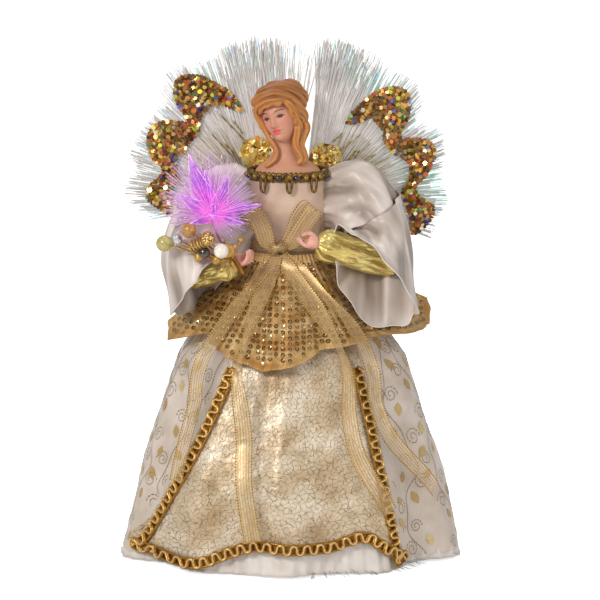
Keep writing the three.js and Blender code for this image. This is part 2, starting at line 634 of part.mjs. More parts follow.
const cellHeight = boxTop - BOX_WALL - CLEARANCE - CELL_RADIUS;
for (let k = 0; k < CELL_COUNT; k += 1) {
  const turn = k % 2 === 0 ? 1 : -1;
  const y = cavityFront + CLEARANCE + CELL_RADIUS + k * cellPitch;
  const from = [-turn * CELL_LENGTH / 2, y, cellHeight];
  const to = [turn * CELL_LENGTH / 2, y, cellHeight];
  const nub = [turn * (CELL_LENGTH / 2 + CELL_NUB), y, cellHeight];
  const nubRadius = CELL_RADIUS / 3;
  const can = rod(from, to, CELL_RADIUS, CELL_RADIUS, PIN_SIDES);
  const cell = union([can, rod(from, nub, nubRadius, nubRadius, LIMB_SIDES)]);
  add(`battery_${k + 1}`, cell, 0x3c5a78, 0.4, 0.3);
}
for (const side of [-1, 1]) {
  const far = side * (cavityHalf - CLEARANCE);
  const near = side * (cavityHalf - CLEARANCE - CONTACT_THICKNESS);
  const low = [Math.min(far, near), cavityFront + CLEARANCE, boxFoot + BOX_WALL];
  const high = [Math.max(far, near), cavityBack - CLEARANCE, boxTop - BOX_WALL - CLEARANCE];
  add(side < 0 ? 'contact_plate_left' : 'contact_plate_right', block(low, high), 0xb8b8bc, 0.3, 0.9);
}

// Skirts
const turnFrom = -Math.PI;
const turnTo = Math.PI;
add('underskirt', skirtLayer(
  rowHeights(flounceTop, UNDERSKIRT_LIFT), () => 0, CLOTH, turnFrom, turnTo, SKIRT_COLUMNS, true,
), SATIN, 0.7, 0);
add('overskirt', skirtLayer(
  rowHeights(CONE_TOP_SHARE, OVERSKIRT_LIFT), flounceLift, CLOTH, turnFrom, turnTo, SKIRT_COLUMNS, true,
), SATIN, 0.5, 0);

// Front panel and its braid, cut from a skirt layer by the outline seen from the front
const columnTurn = 2 * Math.PI / SKIRT_COLUMNS;
const panelFrom = -PANEL_COLUMNS_LEFT * columnTurn;
const panelTo = PANEL_COLUMNS_RIGHT * columnTurn;
const panelColumns = PANEL_COLUMNS_LEFT + PANEL_COLUMNS_RIGHT;
const panelReach = 2 * SKIRT_RADIUS;
const panelScale = WAIST_HEIGHT / PANEL_HEIGHT;
const widthScale = SKIRT_RADIUS / PANEL_SKIRT;
const panelOutline = PANEL_OUTLINE.map(([x, z]) => [x * widthScale, z * panelScale]);
const panelRows = rowHeights(PANEL_TOP_SHARE, CLEARANCE);
const panelCloth = (step, thickness) => (
  skirtLayer(panelRows, (z) => flounceLift(z) + step, thickness, panelFrom, panelTo, panelColumns, false)
);
const panel = panelCloth(panelOffset, CLOTH).intersect(plate(panelOutline, -panelReach, 0));
add('front_panel', panel, 0xd8c8a0, 0.45, 0.3);

// The braid runs just inside the outline: a bar for each side and a round at each corner
function inset(points, width) {
  return points.map(([x, z], k) => {
    const [x0, z0] = points[Math.max(0, k - 1)];
    const [x1, z1] = points[Math.min(points.length - 1, k + 1)];
    const length = Math.hypot(x1 - x0, z1 - z0);
    return [x - width * (z1 - z0) / length, z + width * (x1 - x0) / length];
  });
}
const braidHalf = BRAID_WIDTH / 2;
const braidLine = inset(panelOutline.slice(1, -1), braidHalf);
const braidBars = braidLine.slice(1).map(([x1, z1], k) => {
  const [x0, z0] = braidLine[k];
  const length = Math.hypot(x1 - x0, z1 - z0);
  const [dx, dz] = [braidHalf * (z1 - z0) / length, -braidHalf * (x1 - x0) / length];
  const outline = [[x0 + dx, z0 + dz], [x1 + dx, z1 + dz], [x1 - dx, z1 - dz], [x0 - dx, z0 - dz]];
  return plate(outline, -panelReach, 0);
});
const braidRounds = braidLine.map(
  ([x, z]) => rod([x, -panelReach, z], [x, 0, z], braidHalf, braidHalf, TRIM_SIDES),
);
const braidBand = union([...braidBars, ...braidRounds]);
const braid = panelCloth(braidOffset, BRAID_THICKNESS).intersect(braidBand);
add('front_braid', braid, GOLD, 0.4, 0.6);

// Peplum
const peplumTop = WAIST_HEIGHT - CLEARANCE;
const peplumHem = (angle) => table(PEPLUM_HEM, angle / DEGREE);
function peplumRadius(angle, v) {
  const [drop, flare] = peplumHem(angle);
  const z = mix(peplumTop, WAIST_HEIGHT - drop, v);
  const fold = PEPLUM_FOLD * v * (1 + Math.cos(SKIRT_FOLDS * angle));
  return skirtRadius(angle, z) + peplumOffset + flare * v ** PEPLUM_FLARE_CURVE + fold;
}
const peplumAt = (u, v, side) => {
  const angle = mix(turnFrom, turnTo, u);
  const z = mix(peplumTop, WAIST_HEIGHT - peplumHem(angle)[0], v);
  return around(angle, peplumRadius(angle, v) + side * CLOTH, z);
};
add('peplum', sheet(peplumAt, SKIRT_COLUMNS, PEPLUM_ROWS, true), 0xb89450, 0.5, 0.5);

// Ribbon tails hang over the peplum and then over the fold crests of the skirt
function tailRadius(angle, z) {
  const [drop, flare] = peplumHem(angle);
  const v = (WAIST_HEIGHT - z) / drop;
  const flared = flare * Math.min(v, 1) ** PEPLUM_FLARE_CURVE + 2 * PEPLUM_FOLD * v;
  const over = skirtCrest(z) + peplumOffset + flared;
  const below = skirtCrest(z) + tailOffset;
  const fall = Math.min(1, Math.max(0, (v - TAIL_FALL[0]) / (TAIL_FALL[1] - TAIL_FALL[0])));
  return Math.max(mix(over + CLOTH, below, fall), below) + TAIL_CLEAR;
}
RIBBON_TAILS.forEach((path, k) => {
  const curve = new THREE.CatmullRomCurve3(path.map(([angle, drop]) => new THREE.Vector3(angle, drop, 0)));
  const lift = k % 2 === 0 ? 0 : TAIL_CLEAR;
  const at = (u, v, side) => {
    const spot = curve.getPointAt(v);
    const z = WAIST_HEIGHT - spot.y;
    const middle = spot.x * DEGREE;
    const radius = tailRadius(middle, z) + lift + side * RIBBON;
    const angle = middle + (u - 0.5) * RIBBON_WIDTH / radius;
    return around(angle, radius, z);
  };
  add(`ribbon_tail_${k + 1}`, sheet(at, 1, TAIL_ROWS, false), 0xc8a458, 0.4, 0.4);
});

// Torso core, bodice and sash
const bodiceRadius = (z) => table(BODICE_PROFILE, z)[0];
const oval = (u, radius, z) => {
  const [x, y] = around(mix(turnFrom, turnTo, u), radius, z);
  return [x * BODY_WIDTH, y * BODY_DEPTH, z];
};
function rodBetween([from, bend, to], grow) {
  const radius = ARM_RADIUS + grow;
  return union([
    rod(from, bend, radius, radius, LIMB_SIDES),
    ball(bend, [radius, radius, radius], LIMB_SIDES, LIMB_SIDES - 2),
    rod(bend, to, radius, radius, LIMB_SIDES),
  ]);
}
const torsoFoot = coneTop - WAIST_HEIGHT + CLEARANCE;
const torsoRows = BODICE_PROFILE.filter(([z]) => z < TORSO_TOP);
const torsoProfile = [
  [TORSO_BORE, torsoFoot], [torsoRows[0][1] - CLOTH, torsoFoot],
  ...torsoRows.map(([z, r]) => [r - CLOTH, z]),
  [TORSO_NECK, TORSO_TOP], [TORSO_BORE, TORSO_TOP], [TORSO_BORE, torsoFoot],
];
const torso = solid(lathe(torsoProfile, BODY_COLUMNS, BODY_WIDTH, BODY_DEPTH)).subtract(trunk(CLEARANCE));
addUpper('torso_core', torso, PLASTIC, 0.6, 0);

const bodiceShell = sheet((u, v, side) => {
  const [z, radius] = BODICE_PROFILE[Math.round(v * (BODICE_PROFILE.length - 1))];
  return oval(u, radius + side * CLOTH, z);
}, BODY_COLUMNS, BODICE_PROFILE.length - 1, true);
const bodice = bodiceShell.subtract(trunk(CLEARANCE))
  .subtract(rodBetween(RIGHT_ARM, CLEARANCE)).subtract(rodBetween(LEFT_ARM, CLEARANCE));
addUpper('bodice', bodice, SATIN, 0.45, 0);

const sashRadius = (z) => bodiceRadius(z) + CLOTH + 2 * CLEARANCE;
const sashBand = sheet((u, v, side) => {
  const z = mix(2 * CLEARANCE, SASH_HEIGHT, v);
  return oval(u, sashRadius(z) + side * CLOTH, z);
}, BODY_COLUMNS, 1, true);
const sashReach = 2 * SASH_HEIGHT;
const sashBore = [
  [0, -sashReach], [sashRadius(SASH_HEIGHT), -sashReach],
  [sashRadius(SASH_HEIGHT), sashReach], [0, sashReach],
];
const knot = ball(KNOT, KNOT_SIZE).subtract(solid(lathe(sashBore, BODY_COLUMNS, BODY_WIDTH, BODY_DEPTH)));
const sash = union([sashBand, knot]).subtract(trunk(CLEARANCE));
addUpper('waist_sash', sash, 0xc8a458, 0.4, 0.4);

// Bow loops stand up from the knot and fold back behind themselves
const sashOuter = (sashRadius(SASH_HEIGHT) + CLOTH) * Math.cos(Math.PI / BODY_COLUMNS);
const sashFront = (x) => -BODY_DEPTH * Math.sqrt(sashOuter ** 2 - (x / BODY_WIDTH) ** 2);
for (const [side, [reach, height]] of Object.entries(BOW_LOOPS)) {
  const foot = KNOT[2];
  const edge = KNOT[0] + Math.sign(reach) * (KNOT_SIZE[0] + CLEARANCE);
  const footX = edge + Math.sign(reach) * RIBBON_WIDTH / 2;
  const seat = Math.min(sashFront(edge), sashFront(footX)) - CLEARANCE - RIBBON / 2;
  const top = KNOT[0] + reach;
  const path = new THREE.CatmullRomCurve3(LOOP_PATH.map(([across, forward, up]) => (
    new THREE.Vector3(mix(footX, top, across), seat - forward * BOW_REACH, foot + up * height)
  )));
  const cross = new THREE.Vector3(height, 0, -reach).normalize();
  const at = (u, v, face) => {
    const way = path.getTangentAt(v);
    const out = way.clone().cross(cross).normalize();
    return path.getPointAt(v).addScaledVector(cross, (u - 0.5) * RIBBON_WIDTH)
      .addScaledVector(out, (face - 0.5) * RIBBON).toArray();
  };
  addUpper(`bow_loop_${side}`, sheet(at, LOOP_COLUMNS, LOOP_ROWS, false), 0xc8a458, 0.4, 0.4);
}

// Head with neck and shoulder plate
const faceWay = new THREE.Vector3(-Math.sin(FACE_TURN), -Math.cos(FACE_TURN), 0);
function ahead(distance, rise) {
  return vector(SKULL).addScaledVector(faceWay, distance).add(vector([0, 0, rise])).toArray();
}
const swell = (size, grow) => size.map((value) => value + grow);
function headBody(grow) {
  const plateFoot = TORSO_TOP + CLEARANCE - grow;
  const chest = [
    [0, plateFoot], [SHOULDER_RIM + grow, plateFoot],
    ...SHOULDERS.map(([r, z]) => [r + grow, z + grow]), [0, SHOULDER_TOP + grow],
  ];
  const neckTop = [SKULL[0], SKULL[1], SKULL[2] - JAW_DROP];
  return union([
    solid(lathe(chest, BODY_COLUMNS, BODY_WIDTH, BODY_DEPTH)),
    rod(NECK_FOOT, neckTop, NECK_RADIUS + grow, NECK_RADIUS + grow, PIN_SIDES),
    ball(SKULL, swell(SKULL_SIZE, grow), PIN_SIDES),
    ball(ahead(JAW_FORWARD, -JAW_DROP), swell(JAW_SIZE, grow), PIN_SIDES),
    ball(ahead(SKULL_SIZE[1] - NOSE_SINK, -NOSE_DROP), swell(NOSE_SIZE, grow), LIMB_SIDES, LIMB_SIDES - 2),
  ]);
}
addUpper('doll_head', headBody(0), SKIN, 0.6, 0);

// Moulded hair: cap, bun, forehead roll and two long locks, opened for the face
const faceOpening = ball(ahead(OPENING_FORWARD, -OPENING_DROP), FACE_OPENING, PIN_SIDES);
const hairPieces = [
  ball(HAIR_CENTRE, HAIR_SIZE, ROUND_SIDES).subtract(faceOpening),
  ball(HAIR_BUN, HAIR_BUN_SIZE),
  ...HAIR_LOCKS.map((lock) => tube(lock.path, lock.radius, lock.steps, LOCK_SIDES)),
];
addUpper('doll_hair', union(hairPieces).subtract(headBody(CLEARANCE)), 0xb87434, 0.55, 0);

// Neck trim: a ring of braid on the bodice edge with hanging drops
const [neckHeight, neckRadius] = BODICE_PROFILE[BODICE_PROFILE.length - 1];
const trimHeight = neckHeight + TRIM_LIFT + CLEARANCE;
const trimRadius = neckRadius + TRIM_GROW;
const trimRing = new THREE.TorusGeometry(trimRadius, TRIM_RADIUS, TRIM_SIDES, BODY_COLUMNS);
trimRing.scale(BODY_WIDTH, BODY_DEPTH, 1);
trimRing.translate(0, 0, trimHeight);
const trimDrops = DROP_ANGLES.flatMap((angle) => {
  const [x, y] = around(angle * DEGREE, trimRadius + DROP_STANDOFF, 0);
  const hook = [x * BODY_WIDTH, y * BODY_DEPTH, trimHeight];
  const root = [hook[0] * DROP_ROOT_SHARE, hook[1] * DROP_ROOT_SHARE, trimHeight];
  const drop = [hook[0], hook[1] - DROP_LEAN, trimHeight - DROP_LENGTH];
  return [
    rod(root, hook, DROP_WIRE, DROP_WIRE, WIRE_SIDES),
    rod(hook, drop, DROP_WIRE, DROP_WIRE, WIRE_SIDES),
    ball(drop, DROP_SIZE, LIMB_SIDES, LIMB_SIDES - 2),
  ];
});
addUpper('neck_trim', union([solid(trimRing), ...trimDrops]), GOLD, 0.35, 0.8);

// Arms, hands, cuffs and bell sleeves
function sleeveBody(rings) {
  const line = (key) => new THREE.CatmullRomCurve3(rings.map((ring) => vector(ring[key])));
  const curves = ['outer', 'inner', 'depth'].map(line);
  const at = (u, v, side) => {
    const [outer, inner, depth] = curves.map((curve) => curve.getPoint(v));
    const turn = 2 * Math.PI * u;
    const ripple = 1 + SLEEVE_RIPPLE * v * v * Math.cos(SLEEVE_RIPPLES * turn);
    const centre = outer.clone().add(inner).multiplyScalar(0.5);
    const arm = outer.sub(inner).multiplyScalar(0.5);
    const spoke = arm.multiplyScalar(Math.cos(turn)).addScaledVector(depth, Math.sin(turn) * ripple);
    const length = spoke.length();
    return centre.addScaledVector(spoke, (length - (1 - side) * CLOTH) / length).toArray();
  };
  return sheet(at, SLEEVE_COLUMNS, SLEEVE_ROWS, true);
}

function handBody(arm, droop) {
  const wrist = vector(arm[2]);
  const way = wrist.clone().sub(vector(arm[1])).normalize();
  const palm = wrist.clone().addScaledVector(way, PALM_LENGTH + PALM_GAP + CLEARANCE);
  const spot = ([along, up, out]) => (
    palm.clone().addScaledVector(way, along).add(vector([0, -out, up])).toArray()
  );
  const [thick, thin] = FINGER_RADII;
  const fingers = FINGER_RANKS.map((rank) => {
    const tip = [FINGER_END - Math.abs(rank), FINGERTIP_PITCH * rank + droop, FINGERTIP_OUT];
    return rod(spot([FINGER_START, FINGER_PITCH * rank, 0]), spot(tip), thick, thin, FINGER_SIDES);
  });
  const thumb = rod(spot(THUMB_START), spot(THUMB_END), thick, thin, FINGER_SIDES);
  return union([egg(palm.toArray(), way, PALM_LENGTH, PALM_RADIUS), ...fingers, thumb]);
}

function cuffBody(arm) {
  const length = vector(arm[1]).distanceTo(vector(arm[2]));
  const [start, end] = CUFF_SPAN;
  const bore = ARM_RADIUS + CLEARANCE;
  const profile = [[bore, (start - CUFF_EDGE) * length]];
  for (let k = 0; k <= CUFF_RUCKS; k += 1) {
    const ruck = k % 2 === 0 ? 0 : CUFF_RUCK;
    profile.push([CUFF_RADIUS + ruck - k * CUFF_TAPER, mix(start, end, k / CUFF_RUCKS) * length]);
  }
  profile.push([bore, (end + CUFF_EDGE) * length], profile[0]);
  const geometry = new THREE.LatheGeometry(profile.map(([r, y]) => new THREE.Vector2(r, y)), PIN_SIDES);
  return solid(aim(geometry, arm[1], arm[2])).subtract(rodBetween(arm, CLEARANCE));
}

const ARMS = { left: [LEFT_ARM, LEFT_SLEEVE], right: [RIGHT_ARM, RIGHT_SLEEVE] };
for (const [side, [arm, rings]] of Object.entries(ARMS)) {
  addUpper(`${side}_arm`, rodBetween(arm, 0), SATIN, 0.8, 0);
  addUpper(`${side}_hand`, handBody(arm, HAND_DROOP[side]), SKIN, 0.6, 0);
  addUpper(`${side}_cuff`, cuffBody(arm), 0xb8a040, 0.3, 0.7);
  addUpper(`${side}_sleeve`, sleeveBody(rings), SATIN, 0.45, 0);
}

// Star flower on its stem and the bead spray
const petalRadius = (petal) => PETAL_TAPER * vector(petal).length() + PETAL_ROOT;
const petals = STAR_PETALS.map((petal) => {
  const tip = vector(STAR).add(vector(petal)).toArray();
  const geometry = new THREE.ConeGeometry(petalRadius(petal), vector(petal).length(), PETAL_SIDES);
  geometry.translate(0, vector(petal).length() / 2, 0);
  return solid(aim(geometry, STAR, tip));
});
const starCore = ball(STAR, [STAR_CORE, STAR_CORE, STAR_CORE], PIN_SIDES);
addUpper('star_flower', union([starCore, ...petals]), 0xd060e0, 0.15, 0);
const stemWay = vector(STEM_PATH[STEM_PATH.length - 1]).sub(vector(STAR)).normalize();
const stemEnd = vector(STAR).addScaledVector(stemWay, STAR_CORE + CLEARANCE).toArray();
addUpper('star_stem', tube([...STEM_PATH, stemEnd], STEM_RADIUS, STEM_STEPS, WIRE_SIDES), GOLD, 0.4, 0.7);

for (const bead of BEADS) {
  const body = ball(bead.at, [bead.radius, bead.radius, bead.radius]);
  addUpper(bead.name, body, bead.colour, bead.roughness, bead.metalness);
}
const branchRoot = vector(SPRAY_ROOT).lerp(vector(BEADS[BRANCH_BEAD].at), BRANCH_SHARE).toArray();
const beadWires = BEADS.map((bead, k) => {
  const root = k === BRANCHED_BEAD ? branchRoot : SPRAY_ROOT;
  const gap = vector(root).sub(vector(bead.at)).normalize();
  const end = vector(bead.at).addScaledVector(gap, bead.radius + CLEARANCE);
  return rod(root, end.toArray(), WIRE_RADIUS, WIRE_RADIUS, WIRE_SIDES);
});
const brassWires = BRASS_BALLS.flatMap((spot) => [
  rod(SPRAY_ROOT, spot, WIRE_RADIUS, WIRE_RADIUS, WIRE_SIDES),
  ball(spot, [BRASS_RADIUS, BRASS_RADIUS, BRASS_RADIUS], LIMB_SIDES, LIMB_SIDES - 2),
]);
const sprayTail = rod(SPRAY_ROOT, SPRAY_FOOT, SPRAY_TAIL_RADIUS, SPRAY_TAIL_RADIUS, LIMB_SIDES);
addUpper('bead_wires', union([...beadWires, ...brassWires, sprayTail]), GOLD, 0.35, 0.8);

// Fibre fans: straight tapered strands fused to an arc of their backing
function fan(tips, centre, front, inner, outer, layers, count) {
  const from = tips[0][0];
  const to = tips[tips.length - 1][0];
  const back = front + layers * FAN_PITCH;
  const spot = (angle, reach) => {
    const turn = angle * DEGREE;
    return [centre[0] + reach * Math.cos(turn), centre[1] + reach * Math.sin(turn)];
  };
  const turns = Array.from({ length: BACKING_STEPS + 1 }, (_, k) => (
    mix(from - BACKING_MARGIN, to + BACKING_MARGIN, k / BACKING_STEPS)
  ));
  const outside = turns.map((angle) => spot(angle, outer));
  const inside = turns.map((angle) => spot(angle, inner));
  const arc = [...outside, ...inside.reverse()];
  const strands = [];
  for (let layer = 0; layer < layers; layer += 1) {
    const y = front + (layer + 0.5) * FAN_PITCH;
    for (let k = 0; k < count; k += 1) {
      const angle = mix(from, to, (k + (layer + 0.5) / layers) / count);
      const reach = table(tips, angle)[0] * (1 - STRAND_JITTER * jitter(layer * count + k));
      const root = spot(angle, (inner + outer) / 2);
      const tip = spot(angle, reach);
      strands.push(needle([root[0], y, root[1]], [tip[0], y, tip[1]], STRAND_RADIUS));
    }
  }
  return union([plate(arc, front, back), ...strands]);
}

const petalFlat = Math.max(...STAR_PETALS.map(petalRadius)) * Math.cos(Math.PI / PETAL_SIDES);
const sprayFront = STAR[1] + Math.max(STAR_CORE, petalFlat) + CLEARANCE;
addUpper('star_fibres', fan(
  SPRAY_FAN, [STAR[0], STAR[2]], sprayFront, SPRAY_INNER, SPRAY_OUTER, SPRAY_LAYERS, SPRAY_STRANDS,
), FIBRE, 0.3, 0);

// Wing bracket with hinge pins, fixed to the back of the bodice
const bodiceWidest = Math.max(...BODICE_PROFILE.map(([, radius]) => radius));
const bracketFront = (bodiceWidest + CLOTH) * BODY_DEPTH + CLEARANCE;
const hingeLow = HINGE_HEIGHT - KNUCKLE_HALF - CLEARANCE;
const hingeHigh = HINGE_HEIGHT + KNUCKLE_HALF + CLEARANCE;
const bracketPieces = [block(
  [-BRACKET_HALF, bracketFront, hingeLow - LUG_HEIGHT],
  [BRACKET_HALF, bracketFront + BRACKET_WALL, hingeHigh + LUG_HEIGHT],
)];
const lugBack = HINGE_Y + KNUCKLE_RADIUS - CLEARANCE;
const hingePost = (x, low, high, radius, sides) => (
  rod([x, HINGE_Y, low], [x, HINGE_Y, high], radius, radius, sides)
);
for (const x of [-HINGE_X, HINGE_X]) {
  for (const low of [hingeLow - LUG_HEIGHT, hingeHigh]) {
    bracketPieces.push(block(
      [x - KNUCKLE_RADIUS, bracketFront, low], [x + KNUCKLE_RADIUS, lugBack, low + LUG_HEIGHT],
    ));
  }
  bracketPieces.push(hingePost(x, hingeLow - LUG_HEIGHT, hingeHigh + LUG_HEIGHT, PIN_RADIUS, PIN_SIDES));
}
const hingeSweep = [-HINGE_X, HINGE_X].map((x) => (
  hingePost(x, hingeLow, hingeHigh, KNUCKLE_RADIUS + 2 * CLEARANCE, ROUND_SIDES)
    .subtract(hingePost(x, hingeLow - HINGE_OVERRUN, hingeHigh + HINGE_OVERRUN, PIN_RADIUS, PIN_SIDES))
));
addUpper('wing_bracket', union(bracketPieces).subtract(union(hingeSweep)), 0xc8c4bc, 0.5, 0);

// Wings: hinged frame, fibre fan, glitter scroll and rosette each side
const fanBack = FAN_FRONT + FAN_LAYERS * FAN_PITCH;
const frameFront = fanBack + CLEARANCE;
const glitterBack = FAN_FRONT + FAN_PITCH / 2 - STRAND_RADIUS - CLEARANCE;
const frameBlock = (side, nearX, farX, front, back, low, high) => block(
  [Math.min(side * nearX, side * farX), front, low], [Math.max(side * nearX, side * farX), back, high],
);
const WINGS = {
  left: { side: -1, tips: LEFT_FAN, glitter: LEFT_GLITTER, rosette: LEFT_ROSETTE },
  right: { side: 1, tips: RIGHT_FAN, glitter: RIGHT_GLITTER, rosette: RIGHT_ROSETTE },
};
for (const [name, { side, tips, glitter, rosette }] of Object.entries(WINGS)) {
  const low = HINGE_HEIGHT - KNUCKLE_HALF;
  const high = HINGE_HEIGHT + KNUCKLE_HALF;
  const x = side * HINGE_X;
  const frameBack = frameFront + BRACKET_WALL;
  const armFoot = WING_ROOT_HEIGHT - FAN_OUTER / 2;
  const armTop = WING_ROOT_HEIGHT + FAN_OUTER;
  const bore = hingePost(x, low - HINGE_OVERRUN, high + HINGE_OVERRUN, PIN_RADIUS + CLEARANCE, PIN_SIDES);
  const frame = union([
    hingePost(x, low, high, KNUCKLE_RADIUS, ROUND_SIDES),
    frameBlock(side, HINGE_X - HINGE_WEB, HINGE_X + HINGE_WEB, HINGE_Y, frameBack, low, high),
    frameBlock(side, HINGE_X - HINGE_WEB, WING_ROOT_X + FAN_OUTER, frameFront, frameBack, armFoot, armTop),
  ]).subtract(bore);
  addUpper(`${name}_wing_frame`, frame, 0xc8c4bc, 0.5, 0);
  addUpper(`${name}_wing_fibres`, fan(
    tips, [side * WING_ROOT_X, WING_ROOT_HEIGHT],
    FAN_FRONT, FAN_INNER, FAN_OUTER, FAN_LAYERS, STRANDS_PER_LAYER,
  ), FIBRE, 0.3, 0);
  const scroll = plate(glitter, glitterBack - GLITTER_THICKNESS, glitterBack);
  addUpper(`${name}_wing_glitter`, scroll, GOLD, 0.35, 0.7);
  const rosetteFront = [rosette[0], glitterBack - ROSETTE_THICKNESS, rosette[1]];
  const rosetteBack = [rosette[0], glitterBack, rosette[1]];
  const disc = rod(rosetteFront, rosetteBack, ROSETTE_RADIUS, ROSETTE_RADIUS, ROUND_SIDES);
  addUpper(`${name}_rosette`, disc, GOLD, 0.35, 0.7);
}

export default topper;
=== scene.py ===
"""Angel tree topper: the dressed model, in the frame of its CAD solids (metres, +Z up, front towards -Y)."""
import math

import bpy
import numpy as np
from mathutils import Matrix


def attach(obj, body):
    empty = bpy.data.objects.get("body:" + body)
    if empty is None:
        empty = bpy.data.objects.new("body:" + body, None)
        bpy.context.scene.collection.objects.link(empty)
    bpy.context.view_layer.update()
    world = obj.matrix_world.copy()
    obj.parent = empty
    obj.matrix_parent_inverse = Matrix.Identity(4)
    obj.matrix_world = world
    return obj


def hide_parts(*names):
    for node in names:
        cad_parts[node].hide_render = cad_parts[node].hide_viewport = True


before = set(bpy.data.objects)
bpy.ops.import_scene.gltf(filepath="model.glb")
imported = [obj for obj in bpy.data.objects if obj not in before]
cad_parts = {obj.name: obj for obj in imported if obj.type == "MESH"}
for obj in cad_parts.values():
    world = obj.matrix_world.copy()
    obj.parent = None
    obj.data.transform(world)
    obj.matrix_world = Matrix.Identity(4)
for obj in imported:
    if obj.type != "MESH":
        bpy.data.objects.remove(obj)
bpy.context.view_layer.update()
rng = np.random.default_rng(11)

MM = 0.001
TAU = 2 * math.pi
WAIST = 183.0
UP = np.array([0.0, 0.0, WAIST])


# Camera
EYE_DISTANCE = 6.0
EYE_LIFT = math.radians(10)
LOOK_AT = (0.0072, 0.0, 0.1515)
VIEW_WIDTH = 0.36
SENSOR = 36

camera_data = bpy.data.cameras.new("camera")
camera_data.sensor_width = SENSOR
camera_data.lens = SENSOR * EYE_DISTANCE / VIEW_WIDTH
camera = bpy.data.objects.new("camera", camera_data)
camera.location = (
    LOOK_AT[0],
    LOOK_AT[1] - EYE_DISTANCE * math.cos(EYE_LIFT),
    LOOK_AT[2] + EYE_DISTANCE * math.sin(EYE_LIFT),
)
camera.rotation_euler = (math.pi / 2 - EYE_LIFT, 0, 0)
bpy.context.scene.collection.objects.link(camera)
bpy.context.scene.camera = camera
bpy.context.scene.view_settings.view_transform = "Standard"


# Numbers and curves, in millimetres
def rows(table, x):
    """The other columns of a table, interpolated where its first column is x."""
    table = np.asarray(table, float)
    return [np.interp(x, table[:, 0], table[:, k]) for k in range(1, table.shape[1])]


def lerp(a, b, t):
    return a + (b - a) * t


def unit(v):
    return v / np.maximum(np.linalg.norm(v, axis=-1, keepdims=True), 1e-9)


def smooth(x, low, high):
    t = np.clip((x - low) / (high - low), 0, 1)
    return t * t * (3 - 2 * t)


def hump(x, at, wide):
    return np.exp(-((x - at) / wide) ** 2)


def run(points):
    """Length of a polyline up to each of its points."""
    return np.concatenate([[0], np.cumsum(np.linalg.norm(np.diff(points, axis=0), axis=1))])


def pairs(a, b):
    """Every a with every b."""
    return np.stack(np.meshgrid(a, b, indexing="ij"), -1)


def upright(height):
    """Offsets straight up."""
    return np.stack([0 * height, 0 * height, height], -1)


def outward(points):
    """Level directions away from the middle axis."""
    return unit(points * [1, 1, 0])


def spline(points, count):
    """A smooth curve through the points."""
    p = np.asarray(points, float)
    ends = np.vstack([2 * p[0] - p[1], p, 2 * p[-1] - p[-2]])
    t = np.linspace(0, len(p) - 1, count)
    k = np.minimum(t.astype(int), len(p) - 2)
    f = (t - k)[:, None]
    a, b, c, d = ends[k], ends[k + 1], ends[k + 2], ends[k + 3]
    square = 2 * a - 5 * b + 4 * c - d
    cube = 3 * b - a - 3 * c + d
    return 0.5 * (2 * b + (c - a) * f + square * f ** 2 + cube * f ** 3)


def spaced(points, count):
    """The same polyline with that many points at an even spacing, and where they lie along it."""
    points = np.asarray(points, float)
    length = run(points)
    at = np.linspace(0, length[-1], count)
    return np.stack([np.interp(at, length, points[:, k]) for k in range(points.shape[1])], -1), at


def even(points, step):
    """The same polyline with points about a step apart, and where they lie along it."""
    return spaced(points, max(2, int(run(points)[-1] / step) + 1))


def resample(points, count):
    """A smooth curve through the points, in even steps."""
    return spaced(spline(points, 200), count)[0]


def around(phi, radius, z):
    """Points round the middle axis; phi is 0 at the front and grows to the right."""
    return np.stack([radius * np.sin(phi), -radius * np.cos(phi), z + 0 * phi], -1)


# Meshes
class Batch:
    """Points, faces and flat coordinates gathered from several shapes into one piece."""

    def __init__(self):
        self.points, self.faces, self.flat, self.count = [], [], [], 0

    def add(self, points, faces, flat=None):
        points = np.asarray(points, float).reshape(-1, 3)
        flat = np.zeros((len(points), 2)) if flat is None else np.asarray(flat, float).reshape(-1, 2)
        if len(flat) == 1:
            flat = np.repeat(flat, len(points), 0)
        self.points.append(points)
        self.flat.append(flat)
        for group in faces if isinstance(faces, (list, tuple)) else [faces]:
            self.faces.extend((np.asarray(group, int) + self.count).tolist())
        self.count += len(points)
        return self

    def make(self, name, material, body="figure", slot=None, nodes=(), paint=None, facets=False):
        mesh = bpy.data.meshes.new(name)
        mesh.from_pydata((np.vstack(self.points) * MM).tolist(), [], self.faces)
        corner = np.empty(len(mesh.loops), int)
        mesh.loops.foreach_get("vertex_index", corner)
        layer = mesh.uv_layers.new(name="flat")
        layer.data.foreach_set("uv", np.vstack(self.flat)[corner].ravel())
        if paint is not None:
            colour = mesh.color_attributes.new("paint", "FLOAT_COLOR", "POINT")
            colour.data.foreach_set("color", np.hstack([paint, np.ones((len(paint), 1))]).ravel())
        mesh.polygons.foreach_set("use_smooth", [not facets] * len(mesh.polygons))
        mesh.materials.append(material)
        mesh.update()
        piece = bpy.data.objects.new(name, mesh)
        bpy.context.scene.collection.objects.link(piece)
        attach(piece, body)
        if nodes:
            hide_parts(*nodes)
        return piece


def grid_faces(across, along, wrap=False):
    """Quads of a sheet of points, closed round its first direction if it wraps."""
    ids = np.arange(across * along).reshape(across, along)
    if wrap:
        ids = np.vstack([ids, ids[:1]])
    return np.stack([ids[:-1, :-1], ids[1:, :-1], ids[1:, 1:], ids[:-1, 1:]], -1).reshape(-1, 4)


def tube_faces(lines, sides):
    """Quads of a tube of rings, each ring closed on itself."""
    ids = np.arange(lines * sides).reshape(lines, sides)
    ids = np.hstack([ids, ids[:, :1]])
    return np.stack([ids[:-1, :-1], ids[:-1, 1:], ids[1:, 1:], ids[1:, :-1]], -1).reshape(-1, 4)


